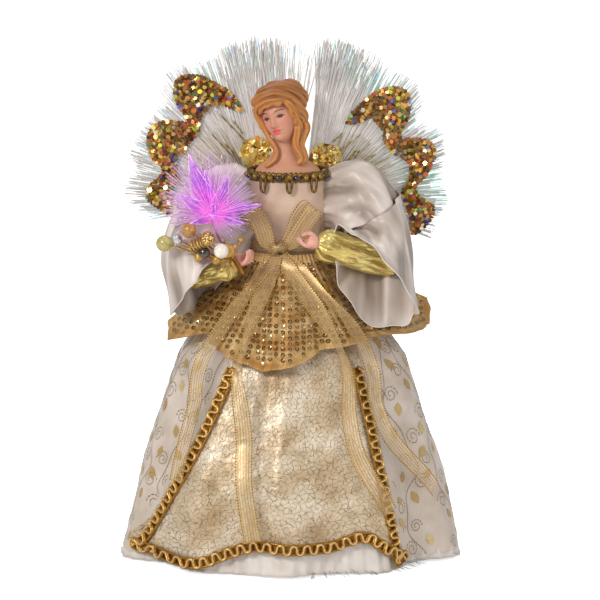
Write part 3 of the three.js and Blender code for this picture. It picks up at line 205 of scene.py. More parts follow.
def cloth(name, points, material, **how):
    """A sheet over a grid of points, with flat coordinates in millimetres along its middle lines."""
    across, along = points.shape[:2]
    u = np.linalg.norm(np.diff(points, axis=0), axis=2).mean(1)
    v = np.linalg.norm(np.diff(points, axis=1), axis=2).mean(0)
    flat = pairs(np.concatenate([[0], np.cumsum(u)]), np.concatenate([[0], np.cumsum(v)]))
    return Batch().add(points, grid_faces(across, along), flat).make(name, material, **how)


def frames(path):
    """Two directions square to a path at each of its points, without twist."""
    way = unit(np.gradient(path, axis=0))
    side = np.empty_like(path)
    start = np.array([0.0, 0, 1]) if abs(way[0][2]) < 0.9 else np.array([1.0, 0, 0])
    turn = np.cross(way[0], start)
    for k, ahead in enumerate(way):
        turn = unit(turn - ahead * turn.dot(ahead))
        side[k] = turn
    return side, np.cross(way, side)


def sweep(batch, path, radius, sides, lobes=0, depth=0.0, twist=0.0, flat=None):
    """A tube along a path; lobes give it strands that turn round it twist times."""
    path = np.asarray(path, float)
    count = len(path)
    side, out = frames(path)
    turn = np.linspace(0, TAU, sides, endpoint=False)
    along = np.linspace(0, 1, count)
    wave = np.cos(lobes * (turn[None] + twist * TAU * along[:, None]))
    reach = np.broadcast_to(radius, (count,))[:, None] * (1 + depth * wave)
    ring = np.cos(turn)[None, :, None] * side[:, None] + np.sin(turn)[None, :, None] * out[:, None]
    points = (path[:, None] + reach[..., None] * ring).reshape(-1, 3)
    quads = tube_faces(count, sides)
    caps = [np.arange(sides)[::-1][None], np.arange((count - 1) * sides, count * sides)[None]]
    if flat is None:
        flat = np.stack([wave * 0.5 + 0.5, np.broadcast_to(along[:, None], wave.shape)], -1)
    return batch.add(points, [quads, *caps], flat)


def ball(batch, centre, size, columns, lines, flat=None):
    """A ball, or an ellipsoid where it has three sizes."""
    turn = np.linspace(0, TAU, columns, endpoint=False)
    lift = np.linspace(-math.pi / 2, math.pi / 2, lines + 1)[1:-1]
    ring = np.stack([
        np.cos(lift)[:, None] * np.cos(turn), np.cos(lift)[:, None] * np.sin(turn),
        np.sin(lift)[:, None] + 0 * turn,
    ], -1).reshape(-1, 3)
    points = np.vstack([ring, [[0, 0, -1], [0, 0, 1]]]) * size + centre
    first = np.arange(columns)
    following = np.roll(first, -1)
    last = (lines - 2) * columns
    pole = np.full(columns, len(ring))
    low = np.stack([pole, following, first], -1)
    high = np.stack([pole + 1, last + first, last + following], -1)
    return batch.add(points, [tube_faces(lines - 1, columns), low, high], flat)


def discs(batch, centres, normals, radii, sides, hole=0.0, cup=0.0):
    """Round spangles, each with two random flat coordinates; with a hole they are cupped rings."""
    centres = np.asarray(centres, float)
    normals = unit(np.asarray(normals, float))
    count = len(centres)
    radii = np.broadcast_to(radii, (count,))[:, None, None]
    start = np.where(np.abs(normals[:, 2:3]) < 0.9, [[0.0, 0, 1]], [[1.0, 0, 0]])
    across = unit(np.cross(normals, start))
    turn = np.linspace(0, TAU, sides, endpoint=False)[None, :, None]
    ring = across[:, None] * np.cos(turn) + np.cross(normals, across)[:, None] * np.sin(turn)
    luck = rng.random((count, 2))
    outer = centres[:, None] + radii * ring
    if not hole:
        faces = np.arange(count * sides).reshape(count, sides)
        return batch.add(outer, faces, np.repeat(luck, sides, 0))
    inner = centres[:, None] + hole * radii * ring + cup * normals[:, None]
    k = np.arange(sides)
    quads = np.stack([k, (k + 1) % sides, (k + 1) % sides + sides, k + sides], -1)
    faces = (np.arange(count)[:, None, None] * 2 * sides + quads[None]).reshape(-1, 4)
    return batch.add(np.concatenate([outer, inner], 1), faces, np.repeat(luck, 2 * sides, 0))


# Materials
def linear(level):
    share = level / 255
    return share / 12.92 if level <= 10 else ((share + 0.055) / 1.055) ** 2.4


def srgb(*colour):
    return tuple(linear(level) for level in colour) + (1.0,)


def shade(colour, share):
    return tuple(c * share for c in colour[:3]) + (1.0,)


class Finish:
    """A principled material with helpers for its node chains."""

    def __init__(self, name, rough=0.5, metal=0.0, **values):
        self.material = bpy.data.materials.new(name)
        self.material.use_nodes = True
        self.tree = self.material.node_tree
        self.shader = self.tree.nodes["Principled BSDF"]
        self.put("Roughness", rough).put("Metallic", metal)
        for key, value in values.items():
            self.put(key.replace("_", " "), value)

    def feed(self, socket, value):
        if isinstance(value, bpy.types.NodeSocket):
            self.tree.links.new(value, socket)
        else:
            socket.default_value = value

    def put(self, key, value):
        self.feed(self.shader.inputs[key], value)
        return self

    def node(self, kind, inputs=None, **settings):
        node = self.tree.nodes.new("ShaderNode" + kind)
        for key, value in settings.items():
            setattr(node, key, value)
        for key, value in (inputs or {}).items():
            self.feed(node.inputs[key], value)
        return node

    def place(self):
        return self.node("TexCoord").outputs["Object"]

    def flat(self):
        return self.node("UVMap", uv_map="flat").outputs["UV"]

    def flat_axis(self, axis):
        return self.node("SeparateXYZ", {0: self.flat()}).outputs[axis]

    def math(self, operation, a, b=0.0):
        return self.node("Math", {0: a, 1: b}, operation=operation).outputs[0]

    def add(self, a, b):
        return self.math("ADD", a, b)

    def times(self, a, b):
        return self.math("MULTIPLY", a, b)

    def above(self, a, b):
        return self.math("GREATER_THAN", a, b)

    def below(self, a, b):
        return self.math("LESS_THAN", a, b)

    def mapped(self, **inputs):
        """Flat coordinates after a mapping."""
        return self.node("Mapping", {"Vector": self.flat(), **inputs}).outputs[0]

    def mix(self, share, a, b):
        return self.node("Mix", {0: share, 6: a, 7: b}, data_type="RGBA").outputs[2]

    def ramp(self, value, *stops, steps=False):
        node = self.node("ValToRGB", {0: value})
        node.color_ramp.interpolation = "CONSTANT" if steps else "LINEAR"
        while len(node.color_ramp.elements) < len(stops):
            node.color_ramp.elements.new(1.0)
        for element, (position, colour) in zip(node.color_ramp.elements, stops):
            element.position = position
            element.color = colour
        return node.outputs[0]

    def noise(self, scale, detail=3.0, vector=None):
        inputs = {"Scale": scale, "Detail": detail, "Vector": vector or self.place()}
        return self.node("TexNoise", inputs).outputs[0]

    def cells(self, scale, feature="F1", random=1.0, vector=None):
        inputs = {"Scale": scale, "Randomness": random, "Vector": vector or self.place()}
        return self.node("TexVoronoi", inputs, feature=feature).outputs

    def bump(self, height, distance, strength=1.0):
        node = self.node("Bump", {"Height": height, "Distance": distance, "Strength": strength})
        return self.put("Normal", node.outputs[0])

    def grain(self, scale, detail, distance, strength):
        """Ends a material with a fine uneven surface."""
        return self.bump(self.noise(scale, detail), distance, strength).material

    def glow(self, colour, strength):
        return self.put("Emission Color", colour).put("Emission Strength", strength)

    def dapple(self, low, high, scale, detail=3.0):
        """Base colour that drifts between two tones."""
        return self.put("Base Color", self.ramp(self.noise(scale, detail), (0.3, low), (0.7, high)))


GREY = [(v, v, v, 1.0) for v in np.linspace(0, 1, 11)]


def weave(finish):
    """Ends a cloth with its fine uneven weave."""
    height = finish.add(finish.noise(220, 4), finish.times(finish.noise(1800, 2), 0.3))
    return finish.bump(height, 0.0008, 0.45).material


def satin(name, low, high, rough):
    finish = Finish(name, rough, Sheen_Weight=0.25, Sheen_Roughness=0.4)
    return weave(finish.dapple(low, high, 60, 2))


def plastic(name, colour, rough=0.5, metal=0.0):
    finish = Finish(name, rough, metal).dapple(shade(colour, 0.82), colour, 90)
    return finish.grain(900, 2, 0.0002, 0.3)


def make_sleeve_satin():
    """White satin with painted fold shade: broad light and dark streaks down the sleeve."""
    finish = Finish("ivory_satin", 0.33, Sheen_Weight=0.25, Sheen_Roughness=0.4)
    falling = finish.mapped(Scale=(0.06, 0.02, 1))
    # Painted fold shade: dark, mid and light tones in streaks down the sleeve
    painted_fold_shade = (0.36, srgb(146, 131, 119)), (0.5, srgb(192, 178, 168)), (0.64, srgb(226, 215, 208))
    finish.put("Base Color", finish.ramp(finish.noise(1.0, 2, falling), *painted_fold_shade))
    return weave(finish)


SATIN = make_sleeve_satin()
BODICE_SATIN = satin("bodice_satin", srgb(192, 162, 140), srgb(216, 190, 168), 0.33)
PRINTED = satin("printed_satin", srgb(192, 176, 160), srgb(216, 203, 191), 0.38)
LINING = satin("white_cloth", srgb(210, 201, 192), srgb(232, 225, 218), 0.55)


def make_lame():
    """Ivory lame crazed with short fine gold lines that cross five ways, on a drifting ground."""
    finish = Finish("crackle_lame", 0.38, 0.2, Sheen_Weight=0.15)
    flat = finish.flat()
    sway = finish.times(finish.noise(0.11, 2, flat), 2.2)
    ink = 0.0
    for angle in (0.25, 0.8, 1.5, 2.15, 2.8):
        turned = finish.mapped(Rotation=(0, 0, angle))
        across = finish.node("SeparateXYZ", {"Vector": turned}).outputs[0]
        wave = finish.math("FRACT", finish.add(finish.times(across, 0.34), sway))
        off = finish.math("ABSOLUTE", finish.math("SUBTRACT", wave, 0.5))
        line = finish.below(off, 0.036)
        broken = finish.above(finish.noise(0.26, 1, turned), 0.47)
        ink = finish.math("MAXIMUM", ink, finish.times(line, broken))
    patchy = finish.ramp(finish.noise(0.12, 3, flat), (0.3, GREY[5]), (0.6, GREY[9]))
    ink = finish.times(ink, patchy)
    tones = (0.28, srgb(172, 144, 106)), (0.48, srgb(204, 183, 151)), (0.72, srgb(236, 224, 204))
    ground = finish.ramp(finish.noise(0.05, 3, flat), *tones)
    finish.put("Base Color", finish.mix(ink, ground, srgb(88, 62, 26)))
    height = finish.math("SUBTRACT", finish.noise(0.1, 2, flat), finish.times(ink, 0.04))
    return finish.bump(height, 0.002, 0.5).material


LAME = make_lame()


def make_gold_lame():
    """Gold foil cloth crinkled along the arm."""
    finish = Finish("gold_lame", 0.3, 0.65)
    finish.dapple(srgb(204, 174, 88), srgb(252, 234, 156), 50, 3)
    along = finish.mapped(Scale=(0.13, 0.035, 1))
    crinkle = finish.add(finish.noise(1.0, 3, along), finish.times(finish.noise(240, 3), 0.07))
    return finish.bump(crinkle, 0.01, 0.75).material


CUFF = make_gold_lame()


def make_mesh_gold():
    """Gold net over a ground whose tone drifts down the cloth in streaks of painted fold shade."""
    finish = Finish("sequin_mesh", 0.42, 0.45)
    flat = finish.flat()
    # Painted fold shade: darker orange and lighter gold streaks down the cloth
    falling = finish.mapped(Scale=(0.028, 0.13, 1))
    tones = (0.32, srgb(184, 128, 58)), (0.64, srgb(232, 200, 140))
    tone = finish.ramp(finish.noise(1.0, 3, falling), *tones)
    net = finish.cells(1.3, "DISTANCE_TO_EDGE", 0.6, flat)[0]
    dark = finish.below(net, 0.12)
    finish.put("Base Color", finish.mix(finish.times(dark, 0.4), tone, srgb(150, 108, 50)))
    return finish.bump(finish.add(net, finish.noise(0.3, 3, flat)), 0.0008, 0.5).material


MESH_GOLD = make_mesh_gold()


def make_spangle(name, stops, rough, metal, glow=0.0):
    """Each spangle takes one colour of the list by its own random coordinate."""
    finish = Finish(name, rough, metal)
    colour = finish.ramp(finish.flat_axis("X"), *stops, steps=True)
    mean = np.mean([stop_colour[:3] for _, stop_colour in stops], axis=0)
    finish.put("Base Color", finish.mix(finish.noise(700, 2), colour, shade(mean, 0.6)))
    # Painted glints: spangles with a high second coordinate glow brightly, and every spangle glows faintly
    # as painted light
    if glow:
        lit = finish.above(finish.flat_axis("Y"), 0.93)
        finish.glow(colour, finish.add(finish.times(lit, glow), 0.25 * glow))
    return finish.material


SEQUIN = make_spangle("ring_sequin", [
    (0.0, srgb(84, 50, 24)), (0.36, srgb(126, 84, 42)), (0.62, srgb(196, 150, 78)),
    (0.86, srgb(255, 240, 190)),
], 0.2, 0.85)
GLITTER = make_spangle("gold_glitter", [
    (0.0, srgb(78, 42, 10)), (0.26, srgb(132, 82, 20)), (0.5, srgb(196, 142, 44)),
    (0.68, srgb(246, 214, 120)), (0.75, srgb(204, 90, 16)), (0.83, srgb(160, 38, 22)),
    (0.89, srgb(206, 218, 54)), (0.935, srgb(46, 160, 90)), (0.96, srgb(70, 84, 190)),
    (0.988, srgb(255, 250, 240)),
], 0.2, 0.8, 0.7)
ROSETTE = make_spangle("rosette_sequin", [
    (0.0, srgb(150, 104, 34)), (0.26, srgb(210, 168, 70)), (0.56, srgb(242, 216, 122)),
    (0.84, srgb(255, 246, 196)), (0.94, srgb(150, 60, 24)),
], 0.2, 0.75, 0.9)


def make_cord(name, dark, light, scale=500):
    finish = Finish(name, 0.34, 0.7)
    # Painted shade: darker in the grooves between the strands, lighter on their crowns
    strand = finish.ramp(finish.flat_axis("X"), (0.1, dark), (0.75, light))
    finish.put("Base Color", finish.mix(finish.noise(scale, 3), strand, dark))
    return finish.grain(scale * 3, 2, 0.0004, 0.5)


GIMP = make_cord("gimp_braid", srgb(136, 92, 26), srgb(218, 166, 74))
GIMP_LIGHT = make_cord("gimp_line", srgb(214, 166, 92), srgb(252, 226, 172))
TRIM = make_cord("gold_trim", srgb(66, 46, 16), srgb(190, 150, 74))
BRASS = make_cord("gold_metal", srgb(150, 104, 36), srgb(236, 196, 110))


def make_ribbon():
    """Sheer organza: lengthwise pleat lines and two beaded edges; flat X runs 0 to 1 across the ribbon."""
    finish = Finish("gold_ribbon", 0.32, 0.3)
    across = finish.flat_axis("X")
    off = finish.math("ABSOLUTE", finish.math("SUBTRACT", across, 0.5))
    edge = finish.above(off, 0.43)
    pleat = finish.above(finish.math("SINE", finish.times(across, 38.0)), 0.55)
    beading = finish.math("SINE", finish.times(finish.flat_axis("Y"), 3.6))
    bead = finish.above(beading, 0.1)
    sheer = finish.mix(pleat, srgb(232, 208, 160), srgb(186, 140, 76))
    rim = finish.mix(bead, srgb(214, 170, 84), srgb(94, 62, 20))
    tone = finish.mix(edge, sheer, rim)
    mottle = finish.times(finish.noise(260, 3), 0.3)
    finish.put("Base Color", finish.mix(mottle, tone, srgb(206, 166, 98)))
    solid = finish.add(finish.times(pleat, 0.34), 0.36)
    finish.put("Alpha", finish.math("MAXIMUM", edge, solid))
    return finish.bump(finish.add(pleat, edge), 0.0003, 0.6).material


RIBBON = make_ribbon()


def painted(finish, scale, share, base):
    """Base colour from the paint attribute, with a slight mottle."""
    colour = finish.node("VertexColor", layer_name="paint").outputs[0]
    mottle = finish.times(finish.noise(scale, 3), share)
    return finish.put("Base Color", finish.mix(mottle, colour, base))


def make_face():
    finish = Finish("painted_skin", 0.48, Subsurface_Weight=0.06, Subsurface_Scale=0.002)
    return painted(finish, 240, 0.16, srgb(190, 130, 104)).grain(900, 3, 0.00012, 0.4)


FACE = make_face()


def make_skin():
    finish = Finish("hand_skin", 0.5, Subsurface_Weight=0.08, Subsurface_Scale=0.002)
    finish.dapple(srgb(214, 150, 130), srgb(236, 182, 164), 180)
    return finish.grain(700, 3, 0.0002, 0.4)


SKIN = make_skin()


def make_hair():
    finish = Finish("moulded_hair", 0.46, Coat_Weight=0.1)
    return painted(finish, 160, 0.3, srgb(150, 86, 32)).grain(600, 3, 0.0003, 0.4)


HAIR = make_hair()


def make_fibre(name, root, tip, lights, lamp_tint=None):
    """Drawn fibre: flat X runs along a strand and flat Y is its luck, which lights some ends; every strand
    also has a faint painted glow.
    """
    finish = Finish(name, 0.24, Specular_IOR_Level=0.6)
    along = finish.flat_axis("X")
    tone = finish.ramp(along, (0.0, root), (0.7, tip), (1.0, shade(tip, 0.78)))
    # Teal patches painted toward the tips stand for the lamp's teal light carried in the strands
    if lamp_tint:
        patch_share = finish.ramp(finish.noise(24, 2), (0.5, GREY[0]), (0.66, GREY[7]))
        tone = finish.mix(finish.times(patch_share, along), tone, lamp_tint)
    finish.put("Base Color", finish.mix(finish.times(finish.noise(120, 2), 0.3), tone, GREY[7]))
    luck = finish.flat_axis("Y")
    lit = finish.times(finish.above(along, 0.9), finish.above(luck, 0.8))
    colour = finish.mix(lit, tone, finish.ramp(luck, *lights, steps=True))
    # A faint painted glow along every strand; the lit ends are the lamp's light leaving the fibre tips
    return finish.glow(colour, finish.add(finish.times(lit, 0.5), 0.16)).material


FIBRE_LIGHTS = [(0.8, srgb(255, 255, 255)), (0.9, srgb(120, 235, 215)), (0.96, srgb(110, 200, 255))]
WING_TONES = (srgb(240, 236, 233), srgb(220, 214, 209))
FIBRES = {
    "left": make_fibre("fibre", *WING_TONES, FIBRE_LIGHTS),
    "right": make_fibre("fibre_lamp_tinted", *WING_TONES, FIBRE_LIGHTS, srgb(140, 206, 184)),
}
HEM_FIBRE = make_fibre("hem_fibre", srgb(170, 172, 170), srgb(120, 124, 122), FIBRE_LIGHTS)
STAR_FIBRE = make_fibre("star_fibre", srgb(250, 112, 236), srgb(222, 176, 228), [(0.8, srgb(255, 235, 255))])
TINSEL = make_cord("tinsel", srgb(140, 112, 52), srgb(240, 224, 170), 900)


def make_crystal():
    """Clear moulded petals lit from their foot; flat X runs along a petal."""
    finish = Finish("lit_crystal", 0.12, Alpha=0.62, Coat_Weight=0.5)
    along = finish.flat_axis("X")
    tones = (
        (0.0, srgb(255, 220, 250)), (0.22, srgb(255, 84, 214)),
        (0.55, srgb(198, 92, 226)), (1.0, srgb(214, 160, 236)),
    )
    tone = finish.ramp(along, *tones)
    facet = finish.ramp(finish.cells(420)[1], (0.25, GREY[2]), (0.75, GREY[10]))
    finish.put("Base Color", finish.mix(facet, srgb(150, 70, 206), tone))
    strength = finish.ramp(along, (0.0, GREY[10]), (0.35, GREY[4]), (1.0, GREY[2]))
    sparkle = finish.add(finish.times(facet, 0.7), 0.2)
    finish.glow(tone, finish.times(strength, sparkle))
    return finish.grain(320, 2, 0.0015, 0.7)


CRYSTAL = make_crystal()


def make_ridge():
    finish = Finish("petal_ridge", 0.2)
    tone = finish.ramp(finish.noise(300, 2), (0.35, srgb(214, 110, 236)), (0.65, srgb(255, 214, 255)))
    return finish.put("Base Color", tone).glow(tone, 0.35).material


RIDGE = make_ridge()


def make_bead(name, low, high, rough, metal=0.0, coat=0.6, speck=None, clear=0.0):
    finish = Finish(name, rough, metal, Coat_Weight=coat, Coat_Roughness=0.05, Transmission_Weight=clear)
    tone = finish.ramp(finish.noise(260, 3), (0.3, low), (0.7, high))
    if speck:
        spots = finish.cells(1500)
        chance = finish.node("SeparateColor", {0: spots[1]}).outputs[0]
        tone = finish.mix(finish.above(chance, 0.62), tone, speck)
        finish.bump(spots[0], 0.0005, 0.9)
    return finish.put("Base Color", tone).material


YELLOW = make_bead("yellow_bead", srgb(196, 180, 84), srgb(232, 222, 150), 0.2, clear=0.55)
SILVER = make_bead("silver_glitter", srgb(150, 148, 150), srgb(206, 206, 212), 0.3, 0.6, 0.2, GREY[10])
AMBER = make_bead("amber_bead", srgb(206, 142, 56), srgb(240, 198, 118), 0.16, clear=0.55)
BERRY = make_bead("gold_berry", srgb(120, 74, 16), srgb(206, 150, 56), 0.3, 0.8, 0.2, srgb(255, 226, 150))
DARK = make_bead("dark_metal", srgb(60, 54, 44), srgb(126, 116, 98), 0.18, 0.9)
PEARL = make_bead("pearl", srgb(222, 210, 194), srgb(246, 240, 230), 0.18, 0.0, 0.9)

# CAD pieces that stay in view keep their shape and get a finish
KEPT = {
    plastic("white_plastic", srgb(228, 224, 216)): [
        "base_ring", "body_cone", "chassis_plate", "branch_tube", "torso_core",
    ],
    plastic("black_plastic", srgb(46, 46, 48), 0.45): ["light_housing", "battery_box", "battery_door"],
    plastic("grey_plastic", srgb(196, 192, 186), 0.45): [
        "switch_slider", "wing_bracket", "left_wing_frame", "right_wing_frame",
    ],
    plastic("circuit_board", srgb(40, 96, 52), 0.4): ["lamp_board"],
    plastic("lamp_lens", srgb(240, 240, 250), 0.12): ["lamp"],
    plastic("cell_jacket", srgb(58, 88, 120), 0.35, 0.3): ["battery_1", "battery_2", "battery_3"],
    plastic("contact_steel", srgb(186, 186, 190), 0.3, 0.9): ["contact_plate_left", "contact_plate_right"],
    plastic("trunk_fibre", srgb(214, 212, 208), 0.25): ["fibre_trunk"],
    LINING: ["left_arm", "right_arm"],
    BRASS: ["star_stem"],
    plastic("glitter_ground", srgb(128, 88, 30), 0.4, 0.8): [
        "left_wing_glitter", "right_wing_glitter", "left_rosette", "right_rosette",
    ],
}
for kept_material, kept_names in KEPT.items():
    for kept_name in kept_names:
        kept_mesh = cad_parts[kept_name].data
        kept_mesh.materials.clear()
        kept_mesh.materials.append(kept_material)


# Skirt surface, as in the CAD: a profile with ten folds that deepen towards the hem
SKIRT = 92.0
FOLDS = 10
FOLD_DEPTH = 4.0
LAYER = 1.25
PROFILE = np.array([
    [0, 1], [0.29, 0.93], [0.415, 0.85], [0.66, 0.705], [0.82, 0.47], [0.945, 0.255], [1, 0.195],
])
PROFILE_EASE = 7
CONE_TOP = 0.945 * WAIST
FLOUNCE_TOP = 0.415 * WAIST
# Where the two sides of the skirt are, and how far they flare at each height
SIDE_TURN = 1.5
SIDE_RIGHT = [[0, 11], [18, 10], [54, 6.8], [76, 5.2], [118, 5.5], [142, 2], [160, 0]]
SIDE_LEFT = [[0, 8], [9, 7], [30, 3], [58, 0.3], [80, 0]]


def profile(z):
    """Radius of the skirt without its folds, with eased corners."""
    z = np.asarray(z, float)
    spread = np.linspace(-PROFILE_EASE, PROFILE_EASE, 9)
    soft = np.mean([np.interp((z + d) / WAIST, *PROFILE.T) for d in spread], axis=0)
    return SKIRT * soft


def skirt(phi, z):
    """Radius of the skirt: the CAD folds, small creases, and the flare of its two sides."""
    ease = 1 - z / WAIST
    wave = FOLD_DEPTH * np.cos(FOLDS * phi)
    crease = 0.45 * (1 + np.sin(21 * phi + 0.03 * z + 1.3)) + 0.3 * (1 + np.sin(34 * phi - 0.05 * z))
    flare = rows(SIDE_RIGHT, z)[0] * hump(phi, SIDE_TURN, 0.42)
    flare = flare + rows(SIDE_LEFT, z)[0] * hump(phi, -SIDE_TURN, 0.36)
    return profile(z) + ease * (wave + crease) + flare


def flounce(z):
    """How far the overskirt stands off the skirt surface."""
    return LAYER * np.minimum(1, (CONE_TOP - z) / (CONE_TOP - FLOUNCE_TOP))


def ring_grid(heights, count, offset, hem):
    """A sheet of points all round the skirt, from its hem up."""
    phi = np.linspace(-math.pi, math.pi, count)[:, None]
    z = heights[None] + hem(phi) * np.linspace(1, 0, len(heights))[None] ** 3
    return around(phi, skirt(phi, z) + offset(z), z)


def hem_wave(phi):
    return 0.6 + 0.6 * np.sin(7 * phi + 0.6)


def over_hem(phi):
    """The overskirt is cut higher behind the front panel, where the underskirt shows."""
    return 1.2 + 1.2 * np.sin(5 * phi + 2) + 17 * smooth(0.8 - np.abs(phi), 0, 0.14)


UNDER_COLUMNS = 721
UNDER_ROWS = 22
OVER_COLUMNS = 361
OVER_ROWS = 60
PLEATS = 68
under_heights = np.linspace(0.6, FLOUNCE_TOP, UNDER_ROWS)
under_points = ring_grid(under_heights, UNDER_COLUMNS, lambda z: 0 * z, hem_wave)
pleats = np.sin(np.linspace(-math.pi, math.pi, UNDER_COLUMNS) * PLEATS)
hem_pleat = 0.7 * (1 + pleats)[:, None] * np.linspace(1, 0, UNDER_ROWS)
under_points += outward(under_points) * hem_pleat[..., None]
underskirt = cloth("underskirt_cloth", under_points, LINING, slot="white_cloth", nodes=["underskirt"])
over_heights = np.linspace(3, CONE_TOP - 0.3, OVER_ROWS)
over_points = ring_grid(over_heights, OVER_COLUMNS, flounce, over_hem)
overskirt = cloth("overskirt_cloth", over_points, PRINTED, slot="printed_satin", nodes=["overskirt"])

# Picot edge on the underskirt: a cord in close waves, like a row of small loops
picot = Batch()
hem_line, _ = even(under_points[:, 0], 0.35)
step = np.arange(len(hem_line))
picot_path = hem_line + upright(0.8 + 0.7 * np.cos(step * 0.95)) + outward(hem_line) * 0.35
sweep(picot, picot_path, 0.34, 5)
picot_edge = picot.make("picot_edge", LINING, slot="white_cloth")

# Outline of the front panel as seen from the front
PANEL_LEFT = [[-28, 170], [-36, 122], [-50, 89], [-72, 45], [-91, 9]]
PANEL_HEM = [
    [-91, 9], [-79, 5], [-65, 4], [-50, 5], [-34, 11], [-18, 16], [3, 15], [25, 15], [36, 18], [46, 20],
    [58, 12], [69, 4.5],
]
PANEL_RIGHT = [[28, 170], [44, 121], [54, 77], [62, 40], [69, 4.5]]
PANEL_MARGIN = 2

# Printed scrolls on the overskirt, outside the front panel: dotted vines, curls and leaves
PRINT_LIFT = 0.25
LEAF_LIFT = 0.3
LEAF_ROWS = 9
VINES = 22
VINE_SWAY = 0.075
VINE_WAVE = 11
CURL_PITCH = 13
CURL_TURNS = 1.7
scroll = Batch()
leaves = Batch()


def on_skirt(phi, z, lift):
    """Points that far above the overskirt."""
    return around(phi, skirt(phi, z) + flounce(z) + lift, z)


def edge_x(edge, z):
    """Where an edge of the front panel is at those heights."""
    x, height = np.array(edge[::-1], float).T
    return np.interp(z, height, x)


def bare(phi, z):
    """True where the front panel leaves the overskirt in view."""
    x = skirt(phi, z) * np.sin(phi)
    beside = (x < edge_x(PANEL_LEFT, z) - PANEL_MARGIN) | (x > edge_x(PANEL_RIGHT, z) + PANEL_MARGIN)
    return (np.cos(phi) < 0) | beside


def strip(phi, z, width):
    """A printed line, broken into dashes."""
    points = on_skirt(phi, z, PRINT_LIFT)
    way = unit(np.gradient(points, axis=0))
    side = unit(np.cross(way, points * [1, 1, 0])) * width / 2
    both = np.stack([points - side, points + side], 1)
    faces = grid_faces(len(points), 2)
    keep = (np.arange(len(faces)) % 3 != 2) & bare(phi, z)[:-1]
    scroll.add(both, faces[keep], np.stack([0 * z + 0.5, z], -1).repeat(2, 0))


def leaf(phi, z, lean, length):
    t = np.linspace(0, 1, LEAF_ROWS)
    half = 0.29 * length * np.sin(math.pi * t) ** 1.1
    along = (t - 0.5) * length
    radius = skirt(phi, z)
    points = []
    for sign in (-1, 1):
        x = along * math.sin(lean) + sign * half * math.cos(lean)
        y = along * math.cos(lean) - sign * half * math.sin(lean)
        points.append(on_skirt(phi + x / radius, z + y, LEAF_LIFT))
    leaves.add(np.stack(points, 1), grid_faces(LEAF_ROWS, 2), [rng.random(2)])


for vine in range(VINES):
    start = -math.pi + (vine + 0.5) * TAU / VINES
    z = np.linspace(6, 136, 300)
    phase = rng.uniform(0, TAU)
    strip(start + VINE_SWAY * np.sin(z / VINE_WAVE + phase) + 0.02 * np.sin(z / 4), z, 0.6)
    for foot in np.arange(10, 134, CURL_PITCH):
        middle = start + VINE_SWAY * math.sin(foot / VINE_WAVE + phase)
        way = 1 if int(foot) % 2 else -1
        t = np.linspace(0, CURL_TURNS * TAU, 64)
        size = rng.uniform(4.2, 5.6) * (1 - t / (2.1 * TAU))
        wide = skirt(middle, foot)
        strip(middle + way * (6 + size * np.cos(t)) / wide, foot + size * np.sin(t), 0.55)
        spot = middle - way * 7 / wide
        if bare(spot, foot + 4):
            leaf(spot, foot + 4, rng.uniform(-0.9, 0.9), rng.uniform(6.5, 9))
SCROLL_PRINT = plastic("scroll_print", srgb(146, 122, 76), 0.4, 0.5)
LEAF_PRINT = make_spangle("leaf_print", [
    (0.0, srgb(196, 160, 94)), (0.5, srgb(218, 186, 120)), (0.8, srgb(236, 212, 156)),
], 0.4, 0.25)
scroll_print = scroll.make("overskirt_scrolls", SCROLL_PRINT, slot="printed_satin")
leaf_print = leaves.make("overskirt_leaves", LEAF_PRINT, slot="printed_satin")


# Front panel: a patch between its top, sides and hem as seen from the front, laid over the skirt
def laid(xz, lift):
    """Points of the front view put on the skirt that far above the overskirt."""
    x, z = xz[..., 0], xz[..., 1]
    radius = skirt(0 * x, z) + flounce(z) + lift
    for _ in range(8):
        phi = np.arcsin(np.clip(x / radius, -0.985, 0.985))
        radius = skirt(phi, z) + flounce(z) + lift
    return around(phi, radius, z)


def patch(left, right, top, hem):
    """A sheet of points between four border lines."""
    u = np.linspace(0, 1, len(top))[:, None, None]
    v = np.linspace(0, 1, len(left))[None, :, None]
    ruled = lerp(left[None], right[None], u) + lerp(top[:, None], hem[:, None], v)
    corners = lerp(lerp(top[0], top[-1], u), lerp(hem[0], hem[-1], u), v)
    return ruled - corners


PANEL_COLUMNS = 110
PANEL_ROWS = 90
panel_top = np.linspace(PANEL_LEFT[0], PANEL_RIGHT[0], PANEL_COLUMNS)
panel_hem = resample(PANEL_HEM, PANEL_COLUMNS)
panel_xz = patch(resample(PANEL_LEFT, PANEL_ROWS), resample(PANEL_RIGHT, PANEL_ROWS), panel_top, panel_hem)
panel_points = laid(panel_xz, LAYER)
fall = np.linspace(0, 1, PANEL_ROWS)[None]
spread = np.linspace(0, 1, PANEL_COLUMNS)[:, None]
panel_pleat = fall * (0.6 + 0.6 * np.sin(spread * 19 + 1.2))
panel_pleat = panel_pleat + 0.5 * fall * (1 + np.sin(spread * 37 + fall * 5))
panel_points += outward(panel_points) * panel_pleat[..., None]
front_panel = cloth("front_panel_cloth", panel_points, LAME, slot="crackle_lame", nodes=["front_panel"])

